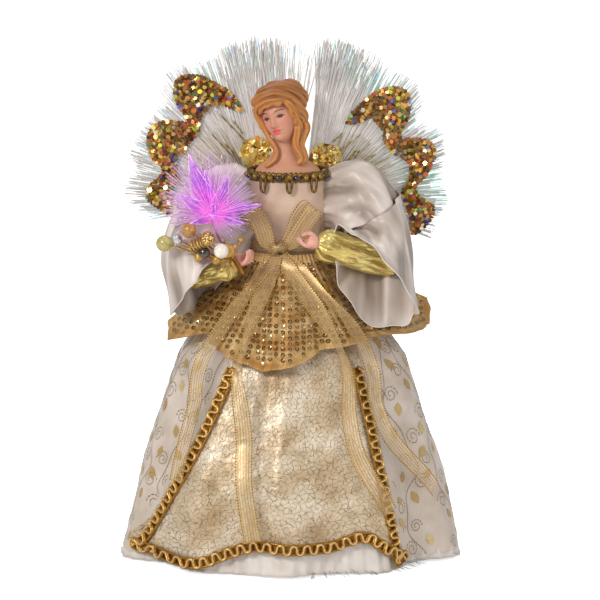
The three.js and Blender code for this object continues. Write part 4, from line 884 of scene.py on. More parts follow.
# Gimp braid along the panel's border: a thick waving rope with a light line on it, on a flat tape
BRAID_HALF = 3.1
BRAID_LIFT = 1.9
TAPE_HALF = 2.9
BRAID_EDGES = (-2.7, 2.7)
MEANDER = 7.8
border = np.vstack([
    resample(PANEL_LEFT[1:], 120), resample(PANEL_HEM, 200)[1:], resample(PANEL_RIGHT[:0:-1], 120)[1:],
])
for _ in range(3):
    border[1:-1] = 0.25 * border[:-2] + 0.5 * border[1:-1] + 0.25 * border[2:]
ahead = unit(np.gradient(border, axis=0))
inset = border + np.stack([-ahead[:, 1], ahead[:, 0]], -1) * BRAID_HALF
inset, braid_at = even(inset, 0.45)
braid_line = laid(inset, LAYER + BRAID_LIFT)
braid_way = unit(np.gradient(braid_line, axis=0))
braid_out = outward(braid_line)
braid_side = unit(np.cross(braid_out, braid_way))
swing = np.sin(braid_at * TAU / MEANDER)[:, None]
slide = braid_way * -0.5 * np.sin(2 * braid_at * TAU / MEANDER)[:, None]
braid = Batch()
# The tape takes the cord's dark groove tone: painted shade under the rope's loops
tape = np.stack([braid_line - braid_side * TAPE_HALF, braid_line + braid_side * TAPE_HALF], 1)
braid.add(tape, grid_faces(len(tape), 2), [[0.15, 0]])
sweep(braid, braid_line + slide + braid_side * 2.6 * swing + braid_out * 0.9, 1.35, 8, 4, 0.16, 90)
for edge in BRAID_EDGES:
    sweep(braid, braid_line + braid_side * edge + braid_out * 0.5, 0.75, 6, 3, 0.2, 120)
front_braid = braid.make("front_braid_gimp", GIMP, slot="gold_braid", nodes=["front_braid"])
light_path = braid_line + slide + braid_side * 2.7 * swing + braid_out * 2.2
light = sweep(Batch(), light_path, 0.6, 6, 3, 0.2, 150)
braid_line_piece = light.make("front_braid_line", GIMP_LIGHT, slot="gold_braid")


# Peplum with its ring sequins
PEPLUM_HEM = [
    # Angle in degrees, drop and flare
    [-180, 50, 8], [-140, 43, 10], [-108, 36, 16], [-84, 42, 15], [-72, 52, 6], [-54, 45, 5],
    [-36, 50, 4], [-24, 58, 4], [-12, 62, 4], [6, 57, 4], [18, 51, 4], [36, 48, 4], [60, 47, 5],
    [78, 47, 15], [90, 46, 26], [102, 33, 33], [126, 40, 14], [150, 44, 10], [180, 50, 8],
]
PEPLUM_LIFT = 4.2
PEPLUM_BEND = 1.3
PEPLUM_COLUMNS = 541
PEPLUM_ROWS = 34
ROW_PITCH = 2.9
COLUMN_PITCH = 4.2
RING_RADIUS = 1.35
RING_HOLE = 0.46
RING_LIFT = 0.75


def peplum(phi, v):
    drop, flare = rows(PEPLUM_HEM, np.degrees(phi))
    z = lerp(WAIST - 0.3, WAIST - drop, v)
    fold = 2.8 * v * (1 + np.cos(FOLDS * phi)) + 0.9 * v * (1 + np.sin(26 * phi + 2 * v))
    fold = fold + 0.25 * np.sin(60 * phi)
    return around(phi, skirt(phi, z) + PEPLUM_LIFT + flare * v ** PEPLUM_BEND + fold, z)


peplum_turn = np.linspace(-math.pi, math.pi, PEPLUM_COLUMNS)[:, None]
peplum_points = peplum(peplum_turn, np.linspace(0, 1, PEPLUM_ROWS)[None])
peplum_cloth = cloth("peplum_cloth", peplum_points, MESH_GOLD, slot="sequin_mesh", nodes=["peplum"])
sequins = Batch()
ring_spots, ring_normals = [], []
for gore in range(FOLDS):
    middle = TAU * gore / FOLDS - math.pi
    deep, aside = np.meshgrid(np.arange(2, 24) * ROW_PITCH, np.arange(-9, 10) * COLUMN_PITCH)
    shares = np.clip(deep / rows(PEPLUM_HEM, [math.degrees(middle)])[0], 0, 1)
    far = np.linalg.norm(peplum(middle + 0 * shares, shares)[..., :2], axis=-1)
    spots = middle + (aside + ROW_PITCH * rng.random()) / far
    v_spots = deep / rows(PEPLUM_HEM, np.degrees(spots))[0]
    keep = (np.abs(spots - middle) < math.pi / FOLDS) & (v_spots < 0.95) & (v_spots > 0.07)
    keep &= rng.random(spots.shape) > 0.06
    spots, v_spots = spots[keep], v_spots[keep]
    at = peplum(spots, v_spots)
    normal = np.cross(peplum(spots + 0.004, v_spots) - at, peplum(spots, v_spots - 0.02) - at)
    ring_spots.append(at + unit(normal) * RING_LIFT)
    ring_normals.append(unit(normal) + rng.normal(0, 0.1, at.shape))
discs(sequins, np.vstack(ring_spots), np.vstack(ring_normals), RING_RADIUS, 12, RING_HOLE, -0.2)
peplum_rings = sequins.make("peplum_sequins", SEQUIN, slot="sequin_mesh")


# Ribbon tails, sash, knot and bow loops
RIBBON_WIDTH = 10.5
RIBBON_COLUMNS = 9
RIBBON_ROWS = 90
TAILS = [
    # Angle in degrees and drop below the waist
    [[-16, 0.5], [-19, 12], [-22, 30], [-22, 58], [-18, 92], [-16, 125], [-12, 160]],
    [[-19, 0.5], [-28, 10], [-36, 30], [-40, 60], [-43, 104], [-43, 128]],
    [[-11, 0.5], [3, 9], [20, 30], [26, 58], [27, 108], [38, 146]],
    [[-8, 0.5], [13, 9], [35, 32], [38, 62], [42, 100], [62, 138]],
]
# Where each tail is pinched along its length, and how much of its width that takes
PINCH = [(0.46, 0.7), (0.3, 0.35), (0.55, 0.55), (0.35, 0.5)]
TAIL_LIFT = 6.0
TAIL_CLEAR = 2.0


def tail_radius(phi, z):
    """Radius of a tail: over the peplum first, then down to the skirt."""
    drop, flare = rows(PEPLUM_HEM, np.degrees(phi))
    v = (WAIST - z) / drop
    crest = profile(z) + FOLD_DEPTH * (1 - z / WAIST)
    over = crest + PEPLUM_LIFT + flare * np.minimum(v, 1) ** PEPLUM_BEND + 4.4 * v + 0.8
    below = crest + TAIL_LIFT
    return np.maximum(lerp(over, below, np.clip((v - 1.1) / 0.6, 0, 1)), below) + TAIL_CLEAR


def ribbon(name, middle, across, nodes, curl=0.6):
    """A strip of ribbon about a middle line, slightly cupped across."""
    u = np.linspace(-0.5, 0.5, RIBBON_COLUMNS)[None, :, None]
    out = unit(np.cross(np.gradient(middle, axis=0), across))
    points = middle[:, None] + across[:, None] * u + out[:, None] * (curl * (1 - 4 * u ** 2))
    flat = pairs(run(middle), np.linspace(0, 1, RIBBON_COLUMNS))[..., ::-1]
    batch = Batch().add(points, grid_faces(len(middle), RIBBON_COLUMNS), flat)
    return batch.make(name, RIBBON, slot="gold_ribbon", nodes=nodes)


for k, path in enumerate(TAILS):
    line = spline(path, RIBBON_ROWS)
    phi, depth = np.radians(line[:, 0]), line[:, 1]
    z = WAIST - depth
    radius = tail_radius(phi, z) + (TAIL_CLEAR if k % 2 else 0) * smooth(depth, 4, 20)
    middle = around(phi, radius - 2.2 * np.exp(-depth / 3), z)
    along = np.linspace(0, 1, RIBBON_ROWS)
    at, squeeze = PINCH[k]
    pinched = 1 - squeeze * hump(along, at, 0.09)
    width = RIBBON_WIDTH * pinched * (0.75 + 0.25 * smooth(along, 0, 0.3))
    away = outward(middle)
    across = unit(np.cross(np.gradient(middle, axis=0), away)) * width[:, None]
    tail = ribbon(f"ribbon_tail_{k + 1}_strip", middle + away * 0.25, across, [f"ribbon_tail_{k + 1}"])

BODY_WIDE = 1.2
BODY_DEEP = 0.9
# Height and radius of the bodice
BODICE = [[0.5, 17.6], [10, 17.8], [25, 19.6], [38, 18.8], [46, 17.9]]


def oval(phi, radius, z):
    """Points round the body, which is wider than deep, above the waist."""
    return around(phi, radius, z) * [BODY_WIDE, BODY_DEEP, 1] + UP


SASH_LOW = -2.2
SASH_HIGH = 6.2
SASH_COLUMNS = 121
SASH_ROWS = 16
turn = np.linspace(-math.pi, math.pi, SASH_COLUMNS)[:, None]
z = np.linspace(SASH_LOW, SASH_HIGH, SASH_ROWS)[None]
crimp = 0.3 * np.sin(z * 2.6) + 0.2 * np.sin(9 * turn + z)
sash_points = oval(turn, rows(BODICE, z)[0] + 2.1 + crimp, z + 0 * turn)
flat = np.stack(np.broadcast_arrays((z - SASH_LOW + 0 * turn) / 8.6, turn * 20), -1)
sash = Batch().add(sash_points, grid_faces(SASH_COLUMNS, SASH_ROWS), flat)
sash = sash.make("waist_sash_band", RIBBON, slot="gold_ribbon", nodes=["waist_sash"])
KNOT = np.array([-6, -21, 4.2])
KNOT_SIDES = 10
knot = Batch()
t = np.linspace(0, TAU, 40)
knot_flat = pairs(t * 3, np.linspace(0, 1, KNOT_SIDES))[..., ::-1]
for lean, size in ((0.25, 1.0), (-0.35, 0.85), (0.8, 0.7)):
    hoop = np.stack([
        5.2 * size * np.sin(t) * math.cos(lean),
        3.6 * np.cos(t) - 1.2,
        4.0 * np.sin(t) * math.sin(lean) + 0.4 * np.cos(2 * t),
    ], -1)
    sweep(knot, hoop + KNOT + UP, 1.9, KNOT_SIDES, 5, 0.15, 3, flat=knot_flat)
knot.make("bow_knot", RIBBON, slot="gold_ribbon")

# Middle line of each bow loop, with its lean in degrees
LOOPS = {
    "left": [
        [-9, -24.6, 3.5, 12], [-12.4, -26.6, 7, 6], [-14.4, -27.8, 14.3, 8], [-18, -27.4, 22.4, 28],
        [-22.6, -25.4, 27.4, 52], [-25, -22.6, 28.6, 58], [-23.4, -20.4, 25.6, 50], [-18, -20.2, 17, 22],
        [-12, -21.6, 6, 8],
    ],
    "right": [
        [-2, -24.6, 4, -24], [2.2, -26.8, 7.8, -28], [7.4, -27.8, 15.4, -32], [12, -27.2, 22.6, -36],
        [15.6, -25.2, 27.4, -38], [15.4, -22.4, 29.6, -38], [11.4, -20.8, 28.4, -36],
        [5, -20.6, 19.6, -32], [-1, -21.8, 7, -28],
    ],
}
for side, path in LOOPS.items():
    line = spline(path, RIBBON_ROWS)
    lean = np.radians(line[:, 3])
    swell_share = 0.62 + 0.38 * smooth(np.sin(np.linspace(0, math.pi, RIBBON_ROWS)), 0, 0.7)
    wide = np.stack([np.cos(lean), 0 * lean, np.sin(lean)], -1) * (RIBBON_WIDTH * swell_share)[:, None]
    loop = ribbon(f"bow_loop_{side}_strip", line[:, :3] + UP, wide, [f"bow_loop_{side}"], 0.5)


# Bodice: a fitted tube with a bust, gathered at the waist and the neck
BODICE_LOW = 0.5
BODICE_HIGH = 46
BUST_HEIGHT = 29
BUST_TURN = 0.42
z = np.linspace(BODICE_LOW, BODICE_HIGH, 40)[None]
turn = np.linspace(-math.pi, math.pi, 161)[:, None]
bust = 1.6 * hump(z, BUST_HEIGHT, 8) * (hump(turn, BUST_TURN, 0.34) + hump(turn, -BUST_TURN, 0.34))
gather = 0.3 * np.sin(19 * turn + 0.2 * z) * np.exp(-z / 20)
gather = gather + 0.25 * np.sin(13 * turn) * np.exp(-(BODICE_HIGH - z) / 8)
bodice_points = oval(turn, rows(BODICE, z)[0] + 0.8 + bust + gather, z + 0 * turn)
bodice = cloth("bodice_cloth", bodice_points, BODICE_SATIN, slot="ivory_satin", nodes=["bodice"])


# Sleeves: a gathered puff at the shoulder and a bell that starts over the puff's lower edge
SLEEVES = {
    # Each ring is its outer point, its inner point and its half depth
    "right": [
        [[20.5, 1, 46.5], [19, 1, 12], [0, 8, 0]], [[33, 2, 49], [26.5, 0, 13], [0, 14, 0]],
        [[47, 1, 48.5], [31, -3, 12], [-2, 17.5, 0]], [[62.5, -4, 33], [33.5, -8, 13.5], [-3, 19, 0]],
        [[69.5, -12, 4], [35.5, -16, 14], [-7, 20, -4]], [[74, -29, -33], [33, -28, 15.5], [-10, 22, -10]],
    ],
    "left": [
        [[-20.5, 1, 46.5], [-19, 1, 4], [0, 8, 0]], [[-32, 2, 48], [-24.5, 0, -2], [0, 14, 0]],
        [[-46, 1, 44.5], [-29, -3, -4], [2, 17, 0]], [[-63, -4, 26], [-33, -9, 1], [3, 19, 0]],
        [[-71, -12, -2], [-36, -17, 7], [7, 20, -4]], [[-67, -25, -33], [-40, -29, 3], [9, 22, -9]],
    ],
}
# Where the back half of the bell's hem hangs forward over the peplum, and how far its front half drops
HANG = {"right": ([-3, -33, -11], [-3, 0, -5]), "left": ([0, -8, 0], [6, 2, -9])}
SLEEVE_ROWS = 100
SLEEVE_COLUMNS = 161
SEAM = 60
TUCK = 8
for side, rings in SLEEVES.items():
    rings = np.array(rings, float)
    outer, inner, depth = (spline(rings[:, k], SLEEVE_ROWS)[None] for k in range(3))
    turn = np.linspace(0, TAU, SLEEVE_COLUMNS)[:, None, None]
    v = np.linspace(0, 1, SLEEVE_ROWS)[None, :, None]
    ripple = 1 + 0.07 * v * v * np.cos(6 * turn)
    spoke = (outer - inner) * 0.5 * np.cos(turn) + depth * np.sin(turn) * ripple
    out = unit(spoke)
    fold = 1.0 + 1.4 * np.sin(4 * turn + 7 * v + 1) + 1.0 * np.sin(7 * turn - 10 * v + 2)
    fold = fold + 0.6 * np.sin(11 * turn + 17 * v)
    fold = fold + 2.2 * (1 - np.abs(np.sin(2 * turn + 3.5 * v + 0.6)))
    fold = fold + 1.6 * (1 - np.abs(np.sin(3.5 * turn - 5 * v + 1)))
    gather = 1.1 * np.sin(19 * turn) * np.exp(-v * 8)
    shell = (outer + inner) * 0.5 + spoke + out * (fold * smooth(v, 0.05, 0.35) + gather) + UP
    seam = v[0, SEAM, 0]
    swell = 2.0 * np.sin(math.pi * np.clip(v / seam, 0, 1))
    puff = shell + out * (swell - 4.5 * smooth(v, seam - 0.01, seam + 0.07))
    bell = shell + out * 2.2 * np.exp(-(v - seam) / 0.05)
    hang_back, hang_front = np.array(HANG[side])
    near_hem = smooth(v, 0.7, 1)
    bell = bell + near_hem * np.clip(np.sin(turn), 0, 1) * hang_back
    bell = bell + near_hem * np.clip(-np.sin(turn), 0, 1) * hang_front
    puff_cloth = cloth(f"{side}_sleeve_puff", puff[:, :SEAM + TUCK], SATIN, slot="ivory_satin")
    bell_cloth = cloth(
        f"{side}_sleeve_bell", bell[:, SEAM:], SATIN, slot="ivory_satin", nodes=[f"{side}_sleeve"],
    )
    hem, _ = even(bell[:, -1], 0.8)
    piping = sweep(Batch(), hem, 0.3, 6).make(f"{side}_sleeve_piping", LINING, slot="ivory_satin")


# Cuffs: creased tubes round the forearms, each from its bend to its wrist
ARMS = {
    "right": np.array([[58, -16, -4], [20, -31, 7.5]], float),
    "left": np.array([[-54.5, -17, -11], [-34, -33, -3]], float),
}
CUFF_ROWS = 60
CUFF_RADIUS = 10.3
for side, (bend, wrist) in ARMS.items():
    share = np.linspace(-0.1, 1.08, CUFF_ROWS)
    path = bend + (wrist - bend) * share[:, None] + UP
    across, out = frames(path)
    turn = np.linspace(0, TAU, 81)[:, None]
    t = np.linspace(0, 1, CUFF_ROWS)[None]
    crease = 0.35 * np.sin(3 * turn + 2.2 * np.sin(5 * t)) + 0.4 * np.sin(7 * turn + 3 * np.sin(6 * t + 1))
    crease = crease + 0.25 * np.sin(11 * turn - 9 * t) + 0.3 * np.sin(14 * t + 2 * turn)
    radius = (CUFF_RADIUS - 1.0 * t + crease) * (1 - 0.55 * smooth(t, 0.9, 1))
    ring = np.cos(turn)[..., None] * across[None] + np.sin(turn)[..., None] * out[None]
    cuff_points = path[None] + radius[..., None] * ring
    cuff = cloth(f"{side}_cuff_cloth", cuff_points, CUFF, slot="gold_lame", nodes=[f"{side}_cuff"])


# Hands: palm, four curled fingers and a thumb, melted into one skin
PALM_STATIONS = (-11, -7, -3, 0, 2.4, 3.6)
PALM_RADII = np.array([3.4, 3.4, 3.7, 4.3, 4.1, 3.0])
FINGER_PITCH = 1.75
HAND_VOXEL = 0.00042


def add_skin(shape, voxel, rounds):
    """Modifiers that melt an object's shapes into one smooth skin."""
    skin = shape.modifiers.new("skin", "REMESH")
    skin.mode = "VOXEL"
    skin.voxel_size = voxel
    skin.use_smooth_shade = True
    soften = shape.modifiers.new("soften", "SMOOTH")
    soften.factor = 0.5
    soften.iterations = rounds


def hand(name, arm, reach, curl, lean, thumb_way, node):
    """A hand at the end of its arm; the thumb's points are along, up and out from the palm."""
    bend, wrist = arm
    way = unit(wrist - bend)
    lift = unit(np.array([0, 0, 1.0]) - way * way[2])
    front = unit(np.cross(way, lift))
    front = front if front[1] < 0 else -front
    palm = wrist + way * 6.4

    def spot(along, up, out):
        return palm + way * along + lift * up + front * out + UP

    body = Batch()
    sweep(body, np.array([spot(s, 0, 0) for s in PALM_STATIONS]), PALM_RADII, 14)
    t = np.linspace(0, 1, 9)
    for rank in (-1.5, -0.5, 0.5, 1.5):
        length = reach - 0.8 * abs(rank - 0.4)
        bendy = curl * t ** 1.3
        along = 1.6 + length * t * np.cos(bendy)
        rise = -2.3 + lean * t + length * t * np.sin(bendy)
        finger = np.array([spot(*at, FINGER_PITCH * rank) for at in zip(along, rise)])
        sweep(body, finger, lerp(1.5, 1.0, t), 10)
        ball(body, finger[-1], 1.02, 10, 8)
    thumb = spline([spot(*at) for at in thumb_way], 12)
    sweep(body, thumb, np.linspace(1.8, 1.1, 12), 10)
    ball(body, thumb[-1], 1.12, 10, 8)
    piece = body.make(name, SKIN, slot="skin", nodes=[node])
    add_skin(piece, HAND_VOXEL, 6)


LAID_THUMB = [[-1.5, 2.6, 1.6], [2.6, 4.9, 2.2], [6.2, 4.4, 2.4], [7.8, 3.2, 2.4]]
RAISED_THUMB = [[-2.4, 2.6, 1.6], [-1.2, 5.2, 2.2], [0.2, 7.4, 2.4], [1.6, 8.8, 2.4]]
hand("right_hand_skin", ARMS["right"], 9.2, 0.5, -1.4, LAID_THUMB, "right_hand")
hand("left_hand_skin", ARMS["left"], 12.0, 0.75, -1.6, RAISED_THUMB, "left_hand")


# Head: a face sculpted over an egg, turned and tilted to the viewer's left
HEAD = np.array([-4.4, -1.0, 82.3]) + UP
YAW, ROLL, PITCH_DOWN = 0.40, 0.29, 0.05
side_axis = np.array([math.cos(YAW), -math.sin(YAW), 0])
front_axis = np.array([-math.sin(YAW), -math.cos(YAW), 0])
top_axis = np.array([0.0, 0, 1])
side_axis, top_axis = (
    side_axis * math.cos(ROLL) + top_axis * math.sin(ROLL),
    top_axis * math.cos(ROLL) - side_axis * math.sin(ROLL),
)
front_axis, top_axis = (
    front_axis * math.cos(PITCH_DOWN) - top_axis * math.sin(PITCH_DOWN),
    top_axis * math.cos(PITCH_DOWN) + front_axis * math.sin(PITCH_DOWN),
)


def in_head(points):
    """Side, front and up in the head as points of the model, in millimetres."""
    points = np.asarray(points, float)
    return HEAD + points[..., 0:1] * side_axis + points[..., 1:2] * front_axis + points[..., 2:3] * top_axis


def hill(s, u, at, height, wide, tall):
    """A soft rise in the face, on both sides unless it is in the middle."""
    sides = (at[0], -at[0]) if at[0] else (0,)
    return height * sum(np.exp(-((s - x) / wide) ** 2 / 2 - ((u - at[1]) / tall) ** 2 / 2) for x in sides)


# Side and height of each feature, how far it rises, its width and its height
FEATURES = [
    ((0, 3.4), 0.5, 6.0, 1.6), ((4.6, -0.5), -1.5, 2.4, 1.6), ((4.5, -0.7), 0.85, 1.6, 1.0),
    ((0, -0.5), 1.0, 1.1, 2.2), ((0, -3.0), 1.7, 1.15, 1.8), ((0, -5.3), 2.3, 1.3, 1.2),
    ((1.5, -5.8), 0.8, 0.8, 0.8), ((0, -8.3), 1.1, 2.1, 0.65), ((0, -9.9), 1.15, 1.7, 0.7),
    ((0, -9.1), -0.6, 2.2, 0.3), ((0, -11.5), -0.5, 2.2, 0.8), ((0, -13.6), 1.2, 2.6, 1.8),
    ((6.2, -4.6), 0.75, 2.7, 2.8),
]
HEAD_COLUMNS = 280
HEAD_ROWS = 200
POLE_GAP = 0.02
EYE_SIDE = 4.5
EYE_HALF = 2.25


def globe(turn, rows_up):
    """Side, front and up of the directions at those turns, from the bottom to the top."""
    lift = np.linspace(-math.pi / 2 + POLE_GAP, math.pi / 2 - POLE_GAP, rows_up)[None]
    return np.cos(lift) * np.sin(turn), np.cos(lift) * np.cos(turn), np.sin(lift) + 0 * turn, lift


def sculpt():
    """Points of the head, and how much each faces forward."""
    turn = np.linspace(-math.pi, math.pi, HEAD_COLUMNS + 1)[:-1]
    turn = (turn - 0.55 * np.sin(turn))[:, None]
    s, f, u, _ = globe(turn, HEAD_ROWS)
    low = np.clip(-u, 0, 1)
    side = 11.9 * s * (1 - 0.3 * low ** 1.8)
    front = 13.4 * f + 5.6 * low ** 2.2
    up = np.where(u < 0, 17.0, 15.5) * u
    facing = smooth(f, 0.12, 0.55)
    for at, height, wide, tall in FEATURES:
        front = front + facing * hill(side, up, at, height, wide, tall)
    return np.stack([side, front, up], -1), facing


def paint_face(points, facing):
    """Colours of the head's points: skin, cheeks, painted shade on the right side, eyes with a painted
    highlight, brows, lips and nostrils.
    """
    s, u = points[..., 0], points[..., 2]
    skin = np.array(srgb(208, 148, 122)[:3])
    colour = np.broadcast_to(skin, points.shape).copy()

    def lay(mask, tone):
        nonlocal colour
        mask = (np.clip(mask, 0, 1) * (facing > 0.05))[..., None]
        colour = colour * (1 - mask) + np.array(tone[:3]) * mask

    lay(0.4 * hill(s, u, (6.4, -5), 1, 2.6, 2.4), srgb(214, 128, 108))
    # Painted shade down the right side of the face
    lay(0.5 * smooth(s, 5.5, 11), srgb(142, 92, 74))
    lay(0.35 * hill(s, u, (4.6, 1.2), 1, 2.4, 0.9), srgb(168, 112, 96))
    x = np.abs(s) - EYE_SIDE
    arch = 1.05 * (1 - (x / EYE_HALF) ** 2)
    y = u + 0.75
    eye = (np.abs(x) < EYE_HALF) & (y < arch) & (y > -0.75 * arch)
    lay(eye * 0.95, srgb(172, 154, 146))
    gaze = s - np.sign(s) * EYE_SIDE - 0.1
    pupil = gaze ** 2 + (y - 0.15) ** 2
    lay(eye & (pupil < 2.2), srgb(12, 8, 8))
    lay(eye & (pupil < 1.0), srgb(2, 2, 3))
    # Painted highlight in each eye
    lay((gaze - 0.3) ** 2 + (y - 0.5) ** 2 < 0.02, srgb(200, 200, 200))
    lay((np.abs(x) < 2.5) & (np.abs(y - np.maximum(arch, -0.1)) < 0.28), srgb(40, 22, 18))
    lay(0.5 * ((np.abs(x) < 2.0) & (np.abs(y + 0.75 * arch) < 0.12)), srgb(120, 70, 56))
    brow = 2.3 + 0.75 * (1 - ((np.abs(s) - 5.0) / 2.9) ** 2)
    lay((np.abs(np.abs(s) - 4.8) < 2.7) & (np.abs(u - brow) < 0.34), srgb(92, 56, 40))
    lip = np.clip(1 - (s / 2.9) ** 2, 0, 1)
    bow = -7.45 + 0.3 * hump(np.abs(s), 0.7, 0.5) - 1.2 * (1 - lip)
    lay((np.abs(s) < 2.9) & (u < bow) & (u > -9.15), srgb(214, 88, 84))
    lower = np.sqrt(np.clip(1 - (s / 2.6) ** 2, 0, 1))
    lay((np.abs(s) < 2.6) & (u <= -9.05) & (u > -9.1 - 2.1 * lower), srgb(230, 106, 102))
    lay((np.abs(s) < 2.2) & (np.abs(u + 9.1) < 0.15), srgb(132, 48, 44))
    lay(0.6 * hill(s, u, (0.75, -6.35), 1, 0.3, 0.2), srgb(130, 70, 56))
    return colour


face_points, facing = sculpt()
face_paint = paint_face(face_points, facing)
head = Batch().add(in_head(face_points), grid_faces(HEAD_COLUMNS, HEAD_ROWS, wrap=True))
# Neck and shoulder plate: height, half width, half depth, and the shift of the middle to the right and back
NECK = np.array([
    [43.3, 19.9, 15.0, 0, 0], [45.5, 20.2, 15.2, 0, 0], [47.8, 19.2, 14.6, -0.1, 0],
    [50, 17.2, 13.4, -0.3, 0.1], [52, 14.6, 12.0, -0.5, 0.2], [54, 11.6, 10.4, -0.8, 0.3],
    [56.5, 9.1, 9.0, -1.1, 0.4], [60, 7.6, 7.9, -1.5, 0.3], [66, 6.9, 7.2, -2.2, 0], [75, 7.2, 7.6, -2.8, 0],
])
NECK_COLUMNS = 72
NECK_ROWS = 50
neck = spline(NECK, NECK_ROWS)
turn = np.linspace(0, TAU, NECK_COLUMNS, endpoint=False)[:, None]
neck_points = np.stack([
    neck[:, 3] + neck[:, 1] * np.sin(turn), neck[:, 4] - neck[:, 2] * np.cos(turn), neck[:, 0] + 0 * turn,
], -1) + UP
head.add(neck_points, grid_faces(NECK_COLUMNS, NECK_ROWS, wrap=True))
neck_paint = np.broadcast_to(np.array(srgb(206, 150, 120)[:3]), (NECK_COLUMNS * NECK_ROWS, 3))
head_paint = np.vstack([face_paint.reshape(-1, 3), neck_paint])
head.make("doll_head_skin", FACE, slot="skin", nodes=["doll_head"], paint=head_paint)


# Moulded hair: a combed cap sunk under the face, wavy rolls, a bun and long locks, melted into one skin
HAIR_COLUMNS = 240
HAIR_ROWS = 130
HAIR_VOXEL = 0.42
HOLLOW_ROUNDS = 12
TRESS_ROWS = 60
BUN_COILS = 5


def melt(batch, voxel, rounds):
    """One skin over the batch's shapes: points, faces, and how deep each point lies in a hollow."""
    mesh = bpy.data.meshes.new("melt")
    mesh.from_pydata(np.vstack(batch.points).tolist(), [], batch.faces)
    shape = bpy.data.objects.new("melt", mesh)
    bpy.context.scene.collection.objects.link(shape)
    add_skin(shape, voxel, rounds)
    merged = shape.evaluated_get(bpy.context.evaluated_depsgraph_get()).to_mesh()
    points, normals = np.empty((2, len(merged.vertices), 3))
    edges = np.empty((len(merged.edges), 2), int)
    merged.vertices.foreach_get("co", points.ravel())
    merged.vertices.foreach_get("normal", normals.ravel())
    merged.edges.foreach_get("vertices", edges.ravel())
    faces = [tuple(face.vertices) for face in merged.polygons]
    bpy.data.objects.remove(shape)
    # A point below the mean of its neighbourhood lies in a hollow
    level = points
    count = np.bincount(edges.ravel(), minlength=len(points))[:, None]
    for _ in range(HOLLOW_ROUNDS):
        total = np.zeros_like(level)
        np.add.at(total, edges[:, 0], level[edges[:, 1]])
        np.add.at(total, edges[:, 1], level[edges[:, 0]])
        level = total / count
    return points, faces, ((level - points) * normals).sum(1)


hair = Batch()
turn = np.linspace(-math.pi, math.pi, HAIR_COLUMNS + 1)[:-1, None]
s, f, u, lift = globe(turn, HAIR_ROWS)
comb = 0.5 + 0.5 * np.sin(22 * turn + 5 * np.sin(2 * lift) + 2.5 * np.sin(3 * turn + 4 * lift))
cap = np.stack([14.6 * s, 15.2 * f, 14.4 * u], -1) * (1 + 0.035 * comb[..., None])
hairline = 7.2 - 0.062 * cap[..., 0] ** 2
sunk = smooth(cap[..., 1], 2.5, 5) * smooth(hairline - cap[..., 2], -0.6, 0.6)
sunk = np.maximum(sunk, smooth(-cap[..., 2], 10, 13))
cap = cap * (1 - 0.3 * sunk[..., None]) + [0, -2.0, 3.4]
ids = np.arange(HAIR_COLUMNS * HAIR_ROWS).reshape(HAIR_COLUMNS, HAIR_ROWS)
cap_faces = grid_faces(HAIR_COLUMNS, HAIR_ROWS, wrap=True)
hair.add(in_head(cap), [cap_faces, ids[::-1, 0][None], ids[:, -1][None]])
